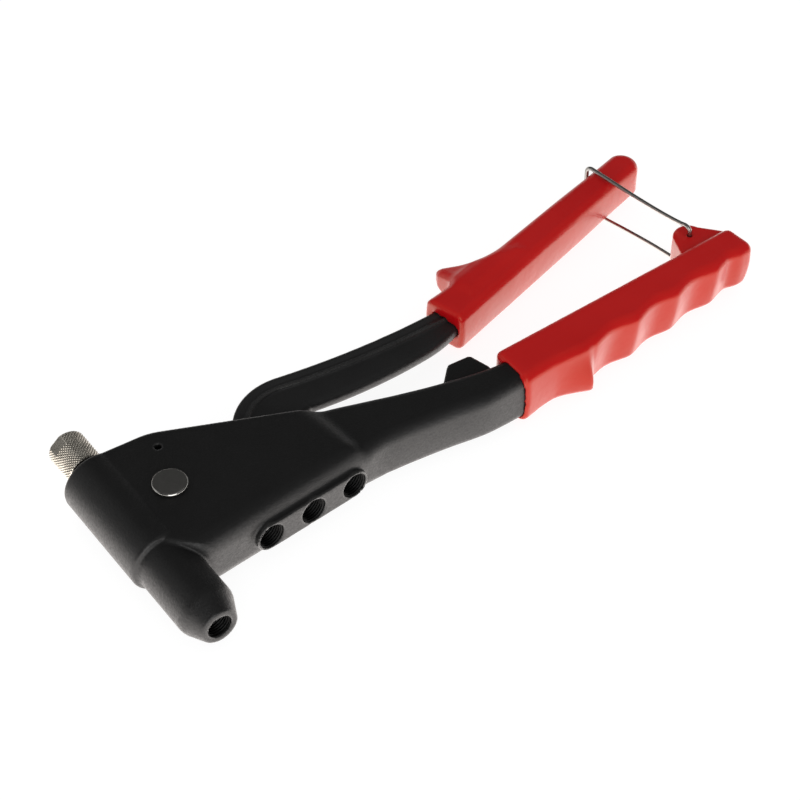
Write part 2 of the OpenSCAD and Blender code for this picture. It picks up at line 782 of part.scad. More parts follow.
// One half of the bail above the mid plane, hinge at the origin, bar at bail_len along X
module bail_half() {
    cut = bend_r;
    translate([0, 0, lug_half - hook_depth]) cylinder(r = wire_r, h = leg_z - cut - lug_half + hook_depth);
    translate([cut, 0, leg_z - cut]) mirror([1, 0, 0]) wire_elbow();
    translate([cut, 0, leg_z]) rotate([0, 90, 0]) cylinder(r = wire_r, h = bail_len - 2 * cut);
    translate([bail_len - cut, 0, leg_z - cut]) wire_elbow();
    translate([bail_len, 0, 0]) cylinder(r = wire_r, h = leg_z - cut);
}

module latch_bail() {
    color("#9a9da0")
        translate([hinge.x, hinge.y, 0])
            rotate([0, 0, bail_dir]) {
                bail_half();
                mirror([0, 0, 1]) bail_half();
            }
}

body_casting();
rear_bush();
pivot_pin();
pivot_circlip();
pivot_shims();
stop_pin();
fixed_grip();
lever();
lever_bush();
lever_grip();
draw_sleeve();
drive_spindle();
thrust_washer();
mandrel_socket();
knurled_knob();
knob_screw();
latch_bail();
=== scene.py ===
"""Hand rivet nut tool: its visible pieces, their finishes and a plain studio stage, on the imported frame."""

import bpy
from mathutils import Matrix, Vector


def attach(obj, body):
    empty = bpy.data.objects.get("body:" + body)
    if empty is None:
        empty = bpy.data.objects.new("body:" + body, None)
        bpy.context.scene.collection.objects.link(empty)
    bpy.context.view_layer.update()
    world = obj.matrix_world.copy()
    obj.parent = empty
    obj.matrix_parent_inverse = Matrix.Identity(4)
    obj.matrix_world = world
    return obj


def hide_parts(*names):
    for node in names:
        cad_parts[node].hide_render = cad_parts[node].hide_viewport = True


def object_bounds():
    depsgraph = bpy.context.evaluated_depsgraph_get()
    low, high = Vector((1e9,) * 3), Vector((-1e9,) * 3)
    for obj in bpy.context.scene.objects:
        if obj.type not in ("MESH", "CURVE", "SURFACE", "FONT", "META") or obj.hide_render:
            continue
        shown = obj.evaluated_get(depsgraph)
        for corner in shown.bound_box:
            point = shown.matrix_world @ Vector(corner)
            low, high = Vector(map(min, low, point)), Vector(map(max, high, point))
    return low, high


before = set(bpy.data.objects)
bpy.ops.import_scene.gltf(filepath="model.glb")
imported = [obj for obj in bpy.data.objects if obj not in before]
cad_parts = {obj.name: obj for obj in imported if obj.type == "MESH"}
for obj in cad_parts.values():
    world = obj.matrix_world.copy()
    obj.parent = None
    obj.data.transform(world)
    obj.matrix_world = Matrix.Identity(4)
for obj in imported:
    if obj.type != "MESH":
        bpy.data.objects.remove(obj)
CAD_BOX = [list(corner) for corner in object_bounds()]

import math

import bpy
import numpy as np
from bpy.props import FloatProperty, FloatVectorProperty, IntProperty, PointerProperty
from bpy.types import Operator, Panel, PropertyGroup
from mathutils import Vector

bl_info = {
    "name": "Rivet nut tool",
    "version": (1, 0, 0),
    "blender": (4, 5, 0),
    "location": "3D View > Sidebar > Rivet nut tool",
    "description": "Builds the casting, lever, grips, knob and latch of a hand rivet nut tool with their finishes",
    "category": "Object",
}

MM = 0.001
# Mesh attribute that holds the edge sharpness, which paints the coat greyer on sharp edges, partly as wear and partly
# as a painted highlight
EDGE_WEAR_AND_HIGHLIGHT = "sharp_edge_wear_and_highlight"
# Depths of fine tool marks and of ground marks, in metres
FINE_MARK, GROUND_MARK = 0.00002, 0.000005


def linear(code):
    """Linear RGBA of an sRGB hex colour."""
    channels = [int(code[i:i + 2], 16) / 255 for i in (1, 3, 5)]
    return [c / 12.92 if c <= 0.04045 else ((c + 0.055) / 1.055) ** 2.4 for c in channels] + [1.0]


def to_mm(metres):
    """Millimetres of a length property."""
    return metres * 1000


def per_mm(size):
    """Scale of a pattern on Object coordinates, in metres, whose cells are size millimetres wide."""
    return 1000.0 / size


def colour(name, text, code):
    """Colour property whose default is an sRGB hex value."""
    return FloatVectorProperty(name=name, description=text, subtype="COLOR", size=4, min=0, max=1,
                               default=linear(code))


def length(name, text, mm):
    """Length property whose default is given in millimetres."""
    return FloatProperty(name=name, description=text, subtype="DISTANCE", unit="LENGTH", default=mm * MM,
                         precision=5)


def power(name, text, watts):
    """Lamp power property."""
    return FloatProperty(name=name, description=text, unit="POWER", default=watts, min=0)


class CastingLook(PropertyGroup):
    """Sizes and colour of the casting and its threads."""
    coat: colour("Coat", "Colour of the powder coat", "#0d0d0d")
    grain: length("Grain", "Width of the coat's orange peel", 0.85)
    nose_fillet: length("Nose fillet", "Fillet between the nose and the head", 1.0)
    mesh: length("Mesh size", "Cell width of the casting's surface", 0.62)
    pitch: length("Thread pitch", "Pitch of the nose and storage threads", 1.0)
    thread_depth: length("Thread depth", "Depth of the thread groove", 0.5)


class LeverLook(PropertyGroup):
    """Sizes and colour of the lever."""
    coat: colour("Coat", "Colour of the lever's satin coat", "#191919")
    edge: length("Edge", "Rounding of the lever's edges", 0.7)
    mesh: length("Mesh size", "Cell width of the lever's surface", 0.5)


class GripLook(PropertyGroup):
    """Sizes and colour of both moulded grips."""
    vinyl: colour("Vinyl", "Colour of the moulded vinyl", "#c20611")
    edge: length("Edge", "Rounding of the grips' long edges", 3.0)
    groove: length("Groove", "Depth of the finger grooves", 2.0)
    pebble: length("Pebble", "Width of the moulded surface's unevenness", 1.4)
    mesh: length("Mesh size", "Cell width of the grips' surfaces", 0.6)


class MetalLook(PropertyGroup):
    """Sizes and colours of the bare metal pieces."""
    nickel: colour("Nickel", "Colour of the plated knob", "#d8d2c6")
    pin: colour("Pin", "Colour of the ground pivot pin", "#d2d0cb")
    steel: colour("Steel", "Colour of the turned pieces", "#7d7d7d")
    wire: colour("Wire", "Colour of the latch wire", "#a5a39f")
    bronze: colour("Bronze", "Colour of the bearing bronze", "#a8793a")
    knurls: IntProperty(name="Knurls", description="Diamonds round the knob", default=36, min=12, max=60)
    knurl_depth: length("Knurl depth", "Depth of the knob's knurl", 0.5)
    bow: length("Bow", "Bow of the latch wire's legs", 1.0)


class StageLook(PropertyGroup):
    """Light and floor."""
    floor: colour("Floor", "Colour of the floor", "#f4f4f4")
    front: power("Front light", "Power of the front softbox", 6.0)
    top: power("Top light", "Power of the top softbox", 0.4)
    left: power("Left light", "Power of the rear left softbox", 0.6)
    table: FloatProperty(name="Table", description="Brightness of the lit table in reflections",
                         default=2.8, min=0)


# Shapes. Every field below takes arrays of x, y and z in millimetres in the tool's frame
# and gives about the distance to the surface in millimetres, below zero inside.


def smooth_min(a, b, r):
    """Union of two fields with a fillet: the smaller one, lowered by (r - gap)^2 / 4r where they are less
    than r apart."""
    h = np.maximum(r - np.abs(a - b), 0)
    return np.minimum(a, b) - h * h / (4 * r)


def smooth_max(a, b, r):
    """Intersection of two fields with an edge rounded in the same way."""
    return -smooth_min(-a, -b, r)


def slab(side, z, half, r):
    """A side wall between two faces at +-half, its edges rounded by r: the length of the outward part of
    (side + r, |z| - half + r), less r."""
    u = side + r
    v = np.abs(z) - half + r
    return np.minimum(np.maximum(u, v), 0) + np.hypot(np.maximum(u, 0), np.maximum(v, 0)) - r


def beside(x, y, p, q):
    """Distance from the line p to q in plan, below zero on its left."""
    dx, dy = q[0] - p[0], q[1] - p[1]
    return ((x - p[0]) * dy - (y - p[1]) * dx) / math.hypot(dx, dy)


def outline(x, y, corners):
    """Distance to a closed outline in plan: the least distance to its edges, with the sign from the crossings
    of a ray."""
    least = np.full(np.shape(x), 1e12, np.float32)
    sign = np.ones(np.shape(x), np.float32)
    for (ax, ay), (bx, by) in zip(corners, corners[1:] + corners[:1]):
        ex, ey = bx - ax, by - ay
        wx, wy = x - ax, y - ay
        t = np.clip((wx * ex + wy * ey) / (ex * ex + ey * ey), 0, 1)
        least = np.minimum(least, (wx - ex * t) ** 2 + (wy - ey * t) ** 2)
        up, down, left = y >= ay, y < by, ex * wy > ey * wx
        sign = np.where((up & down & left) | ~(up | down | left), -sign, sign)
    return sign * np.sqrt(least)


def ease(t):
    """Smooth step from 0 to 1: 3t^2 - 2t^3."""
    t = np.clip(t, 0, 1)
    return t * t * (3 - 2 * t)


def turned(p, degrees):
    """A plan point turned about the origin."""
    c, s = math.cos(math.radians(degrees)), math.sin(math.radians(degrees))
    return p[0] * c - p[1] * s, p[0] * s + p[1] * c


# Sizes, in millimetres. Heights are measured from the tool's middle plane.
# Head, barrel and nose, with the nose's taper as rise and run and the cosine of its angle
HEAD_HALF, HEAD_REAR, HEAD_END, BARREL_FRONT = 12.3, 80.4, 79.5, 34.5
REAR_CORNER = (21.3, 78.9)
FRONT_CORNER = (10.0, 23.1)
OUTER_SLOPE, INNER_SLOPE = math.radians(4.2), math.radians(-23.8)
NOSE_TIP_R, NOSE_R, NOSE_TAPER, NOSE_TAPER_COS = 6.7, 10.5, (3.8, 8.4), 0.911
# Threads, the wider bores behind the nose's thread with their starts, the lever's slot and the pin holes
THREAD_R, THREAD_TOP_R, NOSE_THREAD_LEN, STORE_THREAD_LEN = 4.98, 4.5, 12.4, 12.9
BORE_STEPS = ((5.6, 12), (8.3, 26))
SLOT_HALF, SLOT_R = 7.5, 8.0
CLIP_R, CLIP_DEEP = 7.0, 2.2
STOP_PIN, STOP_PIN_R = (21, 71.1), 1.34
# Slope from the head down to the handle: its foot, the turn of its line in plan and its steepness
STEP_X, STEP_Y, STEP_TURN, STEP_SLOPE = 71.5, 45, math.radians(9), 0.509
# Storage pad: direction, place of its first hole along the head, height, holes, their pitch, radius and depth
PAD_RUN = (math.cos(OUTER_SLOPE), math.sin(OUTER_SLOPE))
PAD_X, PAD_HEIGHT, PAD_R = 35.1, 2.6, 5.8
STORE_COUNT, STORE_PITCH, STORE_R, STORE_DEEP = 3, 18, 4.95, 13
# Fixed handle: half height, end, end of its seat in the grip, and rows of distance, outer side, inner side
HANDLE_HALF, HANDLE_END, SEAT_END = 9.4, 152.6, 152.7
HANDLE_SIDES = np.array([(72.5, 28, 56.4), (79.5, 28.1, 54.5), (84, 29.3, 53.1), (88, 30, 51.7), (94.5, 29.7, 49.5),
                         (101.5, 28.9, 47.1), (108.5, 28, 44.9), (115.6, 26.9, 42.8), (121, 25.9, 41.4),
                         (128, 24.8, 39.7), (135, 24.4, 38.2), (143.6, 24.4, 37.1), (160, 24.4, 36.9)])
# Core of the handle inside the grip: its start, its run in plan, that run's length, and half width and height
CORE_START, CORE_RUN, CORE_LEN, CORE_HALF = (150.6, 31.5), (93.4, 4.9), 93.53, (4.5, 5.5)
# Fixed grip: half height and its taper, mouth, end, inner side with its slope, grooves, guard, and the finger
# side at the crests of its waves
FIXED_HALF, FIXED_TAPER = 10.7, 1.4
MOUTH_X, GRIP_END, GRIP_INSIDE, GRIP_SLOPE = 143.6, 261.0, 41.4, 0.02733
GROOVE_START, GROOVE_PITCH, GROOVE_SLANT = 175.5, 21.0, 0.17
GUARD_HIGH, GUARD_CREST = 4.8, 172
FINGER_LINE = np.array([(143.6, 22.3), (150, 23.2), (156, 23.6), (170, 23.5), (178, 23.6), (196.5, 24.4),
                        (217.5, 26.4), (238.5, 28.2), (261, 30.2)])
# Lever: pivot and its hole, closing angle in degrees, knee and sweep of its outer edge, belly, heel and foot of
# its inner edge, rim, ends and web of its arm, boss and bush
PIVOT, PIVOT_R, CLOSE = (15.0, 53.5), 4.05, 5.8
KNEE, KNEE_R = (71.5, 57.5), 24.8
SWEEP_R, SWEEP_TURN = 317, math.radians(79)
BELLY_AT, BELLY_R, BELLY_START = (114.5, 266.0), 205.0, 80
HEEL_X, HEEL_R = 130, 51
FOOT = (16.32, 47.033)
RIM_HALF, RIM_WIDE, RIM_GROOVE = 4.0, 5.8, 3.3
ARM_START, ARM_END, WEB_HALF, WEB_EDGE = 44.7, 147.6, 2.8, 2.3
BOSS_R, BOSS_HALF, BUSH_R = 7, 7, 5.4
# Fork: radius, half width of its beams, their middle height and half thickness
FORK_R, FORK_BEAM, FORK_MID, FORK_HALF = 4, 2.6, 5.72, 1.27
# Tang: its middle along and across the lever grip, and half length, width and height
TANG_AT, TANG_HALF = (53.5, -1.4), (50.0, 4.6, 3.4)
# Lever grip: half height and its taper, mouth, direction in degrees and length, and the thumb fin along and
# across it
LEVER_HALF, LEVER_TAPER = 8.7, 0.9
LEVER_ROOT, LEVER_DIR, LEVER_GRIP_LEN, LEVER_TIP_LEN = (143.5, 71.3), 14.6, 117.5, 6.6
THUMB_FIN = [(13.5, 2), (15.5, 8.8), (17.6, 17), (19.4, 19.2), (21.6, 18), (25, 13), (28.5, 9.2), (33, 6),
             (44, 0), (44, -2), (13.5, -2)]
# Latch: notch along the lever grip, its depth and radius, the grip's half width there, hinge, its lug, and the
# wire's radius, gap, legs, bends and hooks
NOTCH_S, NOTCH_DEEP, NOTCH_R, GRIP_BACK = 98.0, 0.5, 12, 5.7
HINGE, LUG_R = (245.2, 51.0085), 6.4
WIRE_R, WIRE_GAP, LEG_Z, BEND_R, HOOK_Z = 0.9, 0.4, 10.0, 2.5, 3.3
# The wire is drawn slightly thinner than its solid; its bow leans to the hinge, its lower leg spreads to the bar
WIRE_SHOWN_R, BOW_LEAN, LEG_LOWER, LEG_SPREAD = 0.8, 0.66, 0.94, 0.18
# Knob: ends, radius, distance, length and turn of its wrench flats, bore and chamfer
KNOB_FRONT, KNOB_REAR, KNOB_R = 85.0, 100.0, 7.1
KNOB_FLAT, KNOB_FLAT_LEN, KNOB_FLAT_TURN = 6.0, 5, math.radians(40)
KNOB_BORE_R, KNOB_CHAMFER = 4.05, 0.7
# Pin: radii of its head, shank and groove, and the rounding of its rim
PIN_HEAD_R, PIN_R, PIN_GROOVE_R, PIN_RIM = 6.3, 4.0, 3.4, 0.7


def outer_side(x):
    """Outer wall of the head in plan: a straight line that rises with the outer slope."""
    return FRONT_CORNER[1] + (x - FRONT_CORNER[0]) * math.tan(OUTER_SLOPE)


def inner_side(x):
    """Inner edge of the head in plan: a straight line that falls with the inner slope."""
    return REAR_CORNER[1] + (x - REAR_CORNER[0]) * math.tan(INNER_SLOPE)


def curve(x, table, column=1):
    """Smooth curve through a table of places and heights: between two points a cubic with the mean slopes of
    their neighbours."""
    place, height = table[:, 0], table[:, column]
    slope = np.gradient(height, place)
    i = np.clip(np.searchsorted(place, x) - 1, 0, len(place) - 2)
    gap = place[i + 1] - place[i]
    t = np.clip((x - place[i]) / gap, 0, 1)
    u = 1 - t
    return (u * u * (1 + 2 * t) * height[i] + t * t * (3 - 2 * t) * height[i + 1]
            + t * u * gap * (u * slope[i] - t * slope[i + 1]))


def handle_bar(x, y, z):
    """Endless handle: a bar between its two side curves whose outer edges sharpen away from the head, and
    whose outer side leans out towards the lower face and bulges by a parabola over its height."""
    edge = 7.0 - 2.8 * ease((x - STEP_X - 1) / 14)
    level = np.clip(z / HANDLE_HALF, -1, 1)
    lean = 0.9 * (1 - level) * (1 - ease((x - MOUTH_X + 0.6) / 7))
    bulge = 0.9 * (1 - level ** 2) * (1 - ease((x - 122) / 20))
    spread = (lean + bulge) * ease((x - 76) / 16)
    outer = slab(curve(x, HANDLE_SIDES) - y - spread, z, HANDLE_HALF, edge)
    return np.maximum(outer, slab(y - curve(x, HANDLE_SIDES, 2), z, HANDLE_HALF, 3.0))


def handle(x, y, z):
    """Handle from inside the head to inside the grip."""
    return np.maximum(np.maximum(handle_bar(x, y, z), STEP_X + 1 - x), x - HANDLE_END)


def pad_point(along):
    """Plan point on the face of the storage pad, that far along from its first hole."""
    dx, dy = PAD_RUN
    return PAD_X + PAD_HEIGHT * dy + along * dx, outer_side(PAD_X) - PAD_HEIGHT * dx + along * dy


def pad_frame(x, y):
    """Place along the storage pad from its first hole, and height above the pad's face."""
    (dx, dy), first = PAD_RUN, pad_point(0)
    px, py = x - first[0], y - first[1]
    return px * dx + py * dy, px * dy - py * dx


def belly(x):
    """Inner edge of the lever: the height of a wide arc."""
    return BELLY_AT[1] - math.sqrt(BELLY_R ** 2 - (x - BELLY_AT[0]) ** 2)


def shut(p):
    """A plan point of the lever with the handles closed."""
    dx, dy = turned((p[0] - PIVOT[0], p[1] - PIVOT[1]), -CLOSE)
    return PIVOT[0] + dx, PIVOT[1] + dy


def head(x, y, z):
    """Head: four walls in plan with rounded edges, cut by the slope down to the handle."""
    def wall(p, q, r):
        """Straight wall from p to q with edges rounded by r."""
        return slab(beside(x, y, p, q), z, HEAD_HALF, r)

    front = smooth_max(wall((0, BARREL_FRONT), FRONT_CORNER, 1.6),
                       wall(FRONT_CORNER, (HEAD_END, outer_side(HEAD_END)), 8.0), 3.0)
    rear = smooth_max(wall((HEAD_END, inner_side(HEAD_END)), REAR_CORNER, 1.4),
                      wall(REAR_CORNER, (0, HEAD_REAR), 1.75), 1.5)
    along = (x - STEP_X) * math.cos(STEP_TURN) + (y - STEP_Y) * math.sin(STEP_TURN)
    slope = (np.abs(z) - HEAD_HALF + STEP_SLOPE * along) / math.hypot(1, STEP_SLOPE)
    body = smooth_max(np.maximum(front, rear), slope, 1.2)
    return smooth_max(np.maximum(body, -x), x - HEAD_END, 6.0)


def nose_and_barrel(x, y, z):
    """Nose and barrel turned about the nose axis: a cone that runs into a cylinder, and a thicker cylinder."""
    radial = np.hypot(x, z)
    mid = (BARREL_FRONT + HEAD_REAR) / 2
    barrel = slab(radial - HEAD_HALF, y - mid, (HEAD_REAR - BARREL_FRONT) / 2, 1.4)
    rise, run = NOSE_TAPER
    cone = (radial - NOSE_TIP_R - y * rise / run) * NOSE_TAPER_COS
    nose = smooth_max(smooth_max(cone, radial - NOSE_R, 0.7), -y, 0.6)
    return np.maximum(nose, y - BARREL_FRONT - 2), barrel


def core(x, y, z):
    """Core of the handle inside the fixed grip: a plain bar."""
    (rx, ry), (wide, high) = CORE_RUN, CORE_HALF
    px, py = x - CORE_START[0], y - CORE_START[1]
    along, across = (px * rx + py * ry) / CORE_LEN, (py * rx - px * ry) / CORE_LEN
    side = np.maximum(np.abs(along - CORE_LEN / 2) - CORE_LEN / 2, np.abs(across) - wide)
    return np.maximum(side, np.abs(z) - high)


def stop_lug():
    """Corners of the lug on the handle that the closed lever's belly meets."""
    back, front = shut((129, belly(129))), shut((137.5, belly(137.5)))
    return [(119, 36), (120.6, 41.4), (back[0] - 1.2, back[1] - 1.3), (back[0], back[1] - 0.4),
            (front[0], front[1] - 0.9), (front[0] + 0.9, front[1] - 1.7), (140.8, 40.6), (140.8, 36)]


def lever_room():
    """Corners of the slot that the lever swings in, with free space below the closed lever."""
    floor = (shut(FOOT)[0], shut(FOOT)[1] - 1.6)
    start = shut((BELLY_START, belly(BELLY_START)))
    end = (start[0] + 0.4, start[1] - 1)
    return [(0, 46.1), (15, 46.1), floor, end, (end[0] + 12, end[1] + 0.8), (200, 90.4), (21.3, 90.4),
            (12, 73.1), (0, 61.5)]


def casting(x, y, z, fillet):
    """Casting: head, barrel, nose, handle, core, stop lug and storage pad joined with fillets,
    less the lever slot, the bores and the pin holes."""
    nose, barrel = nose_and_barrel(x, y, z)
    body = smooth_min(np.minimum(head(x, y, z), barrel), nose, fillet)
    body = smooth_min(body, handle(x, y, z), 1.8)
    body = np.minimum(body, core(x, y, z))
    body = smooth_min(body, slab(outline(x, y, stop_lug()), z, 5.5, 0.6), 1.6)
    u, w = pad_frame(x, y)
    stadium = np.hypot(u - np.clip(u, 0, STORE_PITCH * (STORE_COUNT - 1)), z) - PAD_R
    body = smooth_min(body, slab(stadium, w + 2.5, 2.5, 0.8), 0.9)
    at_pin = np.hypot(x - PIVOT[0], y - PIVOT[1])
    slot = np.minimum(outline(x, y, lever_room()), at_pin - SLOT_R)
    body = smooth_max(body, -np.maximum(slot, np.abs(z) - SLOT_HALF), 0.5)
    for i in range(STORE_COUNT):
        hole = np.hypot(u - STORE_PITCH * i, z) - STORE_R
        body = smooth_max(body, -np.maximum(hole, -STORE_DEEP - w), 0.7)
    radial = np.hypot(x, z)
    tapped = radial - THREAD_TOP_R - (THREAD_R - THREAD_TOP_R) * ease((y - 1.2) / 0.6)
    bore = np.maximum(tapped, y - 12.5)
    for r, start in BORE_STEPS:
        bore = np.minimum(bore, np.maximum(radial - r, start - y))
    body = smooth_max(body, -bore, 0.3)
    recess = np.maximum(at_pin - CLIP_R, z + HEAD_HALF - CLIP_DEEP)
    body = np.maximum(body, -np.minimum(at_pin - PIVOT_R, recess))
    return smooth_max(body, STOP_PIN_R - np.hypot(x - STOP_PIN[0], y - STOP_PIN[1]), 0.4)


def lever_outer(x, y):
    """Outer edge of the lever in plan: an arc about the knee, then a wide hollow arc from the line through
    both centres on."""
    c, s = math.cos(SWEEP_TURN), math.sin(SWEEP_TURN)
    sweep = (KNEE[0] + (KNEE_R + SWEEP_R) * c, KNEE[1] + (KNEE_R + SWEEP_R) * s)
    swept = (x - KNEE[0]) * s > (y - KNEE[1]) * c
    return np.where(swept, SWEEP_R - np.hypot(x - sweep[0], y - sweep[1]),
                    np.hypot(x - KNEE[0], y - KNEE[1]) - KNEE_R)


def lever_inner(x, y):
    """Inner edge of the lever in plan: a straight run from the foot, the belly's arc and a rounded heel."""
    bx, by = BELLY_AT
    run = [FOOT, (BELLY_START, belly(BELLY_START)), (BELLY_START, 100), (0, 100)]
    inner = np.minimum(np.hypot(x - bx, y - by) - BELLY_R, outline(x, y, run))
    turn = math.asin((HEEL_X - bx) / BELLY_R)
    off = BELLY_R - HEEL_R
    heel = np.hypot(x - bx - off * math.sin(turn), y - by + off * math.cos(turn)) - HEEL_R
    return np.maximum(inner, np.minimum(heel, x - HEEL_X))


def lever_arm(x, y, z, edge):
    """Lever: boss, fork, neck, web with a raised, grooved rim along its outer curve, and the tang inside
    the grip."""
    az = np.abs(z)
    outer = lever_outer(x, y)
    arm = np.maximum(np.maximum(outer, lever_inner(x, y)), np.maximum(ARM_START - x, x - ARM_END))
    web = slab(arm, z, WEB_HALF, WEB_EDGE)
    rim = slab(np.maximum(arm, -outer - RIM_WIDE), z, RIM_HALF, edge)
    rim = smooth_max(rim, 1.5 - np.hypot(outer + RIM_GROOVE, az - 5.0), 0.5)
    lean = math.radians(20)
    joint = (KNEE[0] - KNEE_R * math.cos(lean), KNEE[1] + KNEE_R * math.sin(lean))
    waist = (54, FOOT[1] + (belly(BELLY_START) - FOOT[1]) * 0.58)
    neck = slab(outline(x, y, [(15, 60.1), FOOT, waist, (joint[0] + 3, KNEE[1]), joint]), z, RIM_HALF, edge)
    at_pin = np.hypot(x - PIVOT[0], y - PIVOT[1])
    boss = slab(at_pin - BOSS_R, z, BOSS_HALF, edge)
    beam = np.maximum(np.abs(y - PIVOT[1]) - FORK_BEAM, np.maximum(-x, x - PIVOT[0]))
    prong = np.minimum(np.hypot(x, y - PIVOT[1]) - FORK_R, beam)
    prong = np.maximum(prong, np.abs(az - FORK_MID) - FORK_HALF)
    s, t = grip_frame(x, y)
    long, wide, high = TANG_HALF
    tang = np.maximum(np.abs(s - TANG_AT[0]) - long, np.abs(t - TANG_AT[1]) - wide)
    tang = np.maximum(tang, az - high)
    body = smooth_min(smooth_min(web, rim, 0.7), neck, 1.6)
    body = np.minimum(smooth_min(np.minimum(body, boss), prong, 0.6), tang)
    return np.maximum(body, BUSH_R - at_pin)


def grip_frame(x, y):
    """Place along the lever grip from its mouth, and across it away from the fixed handle."""
    return turned((x - LEVER_ROOT[0], y - LEVER_ROOT[1]), -LEVER_DIR)


def grip_back(s):
    """Half width of the lever grip on its outer side, swelling slowly and then faster towards the mouth."""
    return GRIP_BACK + 1.4 * np.clip(1 - s / 95, 0, 1) + 2 * np.clip(1 - s / 40, 0, 1) ** 2


def grip_front(s):
    """Half width of the lever grip on its inner side, swelling evenly towards the mouth."""
    return 7.4 + 1.6 * np.clip(1 - s / 95, 0, 1)


def lever_grip(x, y, z, edge):
    """Lever grip: a rounded bar along the lever with a round tip, a thumb fin that thins towards its tip,
    a latch notch and the seat of the lever. Its two sides are crowned by a parabola."""
    s, t = grip_frame(x, y)
    back, front = grip_back(s), grip_front(s)
    half = LEVER_HALF - LEVER_TAPER * ease((s - 70) / 50)
    crown = 0.8 * np.clip(z / half, -1, 1) ** 2
    bar = np.maximum(slab(t - back + crown, z, half, edge), slab(-t - front + crown, z, half, edge))
    wide = (back + front) / 2
    past = np.maximum(s - LEVER_GRIP_LEN + LEVER_TIP_LEN, 0) / LEVER_TIP_LEN * wide
    tip = np.hypot(past, t - (back - front) / 2) - wide
    bar = np.maximum(bar, slab(tip, z, half, edge + 0.6))
    fin = slab(outline(s, t, THUMB_FIN), z, 8.0 - 0.38 * np.clip(t - 8, 0, 11), 2.6)
    grip = smooth_max(smooth_min(bar, fin, 4.5), -s, 2.0)
    notch = np.hypot(s - NOTCH_S, t - (GRIP_BACK - NOTCH_DEEP) - NOTCH_R) - NOTCH_R
    grip = smooth_max(grip, -notch, 0.6)
    return smooth_max(grip, 0.2 - lever_arm(x, y, z, 0.8), 0.8)


def finger_side(x, z, half, groove):
    """Finger side of the fixed grip: a smooth line with a row of slanted hollows, the mean of a sine's size
    and its square, that fade at both ends, less a guard that rises to a rounded crest before the first
    finger, falls off steeply and grows towards the lower face, where the mouth flares too."""
    level = np.clip(z / half, -1, 1)
    swing = np.sin(math.pi * (x - GROOVE_SLANT * z - GROOVE_START) / GROOVE_PITCH) ** 2
    wave = groove * (0.5 * (np.sqrt(swing + 0.012) - 0.11) + 0.5 * swing) * (1.15 - 0.25 * level ** 2)
    wave = wave * ease((x - 175) / 3) * (1 - ease((x - 246) / 8))
    rise = GUARD_HIGH * np.clip((x - 158.5) / 14, 0, 2) ** 1.5
    guard = smooth_min(rise, GUARD_HIGH - GUARD_HIGH * ease((x - GUARD_CREST) / 4.6), 1.0)
    flare = 0.4 * (1 - level) * (1 - ease((x - MOUTH_X) / 14))
    line = curve(x, FINGER_LINE) + wave - flare + 0.5 * level ** 2
    return line - guard * (0.15 + 0.85 * ease((0.75 - level) / 1.35))


def grip_inside(x):
    """Inner side of the fixed grip in plan: a straight line."""
    return GRIP_INSIDE + GRIP_SLOPE * (x - MOUTH_X)


def latch_lug():
    """Corners of the lug on the fixed grip that carries the latch: a foot, a round tip about the hinge and
    a straight fall to the grip's end."""
    hx, hy = HINGE
    turns = [math.radians(a) for a in range(150, 19, -10)]
    tip = [(hx + LUG_R * math.cos(a), hy + LUG_R * math.sin(a)) for a in turns]
    foot = grip_inside(hx)
    return [(hx - 11.4, foot - 4), (hx - 9.4, foot)] + tip + [(258.5, 44.8), (258, 40.6)]


def fixed_grip(x, y, z, edge, groove):
    """Fixed grip: a rounded bar between its straight inner side and the finger side, with a latch lug,
    a slightly bulged end and the seat of the handle."""
    half = FIXED_HALF - FIXED_TAPER * np.clip((x - MOUTH_X) / (GRIP_END - MOUTH_X), 0, 1)
    fingers = slab((finger_side(x, z, half, groove) - y) * 0.8, z, half, edge)
    bar = np.maximum(fingers, slab(y - grip_inside(x), z, half, edge))
    end = x - GRIP_END + 1.9 + 0.08 * (y - 36) + 3.2 * np.clip((3 - z) / 13.7, 0, 1) ** 2
    grip = smooth_max(bar, end, 3.4)
    grip = smooth_min(grip, slab(outline(x, y, latch_lug()), z, 6.5, 1.3), 1.5)
    grip = smooth_max(grip, MOUTH_X - x - 1.6 * np.clip(-z / half, 0, 1), 3.0)
    grip = np.maximum(grip, -np.maximum(handle_bar(x, y, z) - 0.06, x - SEAT_END))
    return smooth_max(grip, 1.0 - np.hypot(x - HINGE[0], y - HINGE[1]), 0.4)


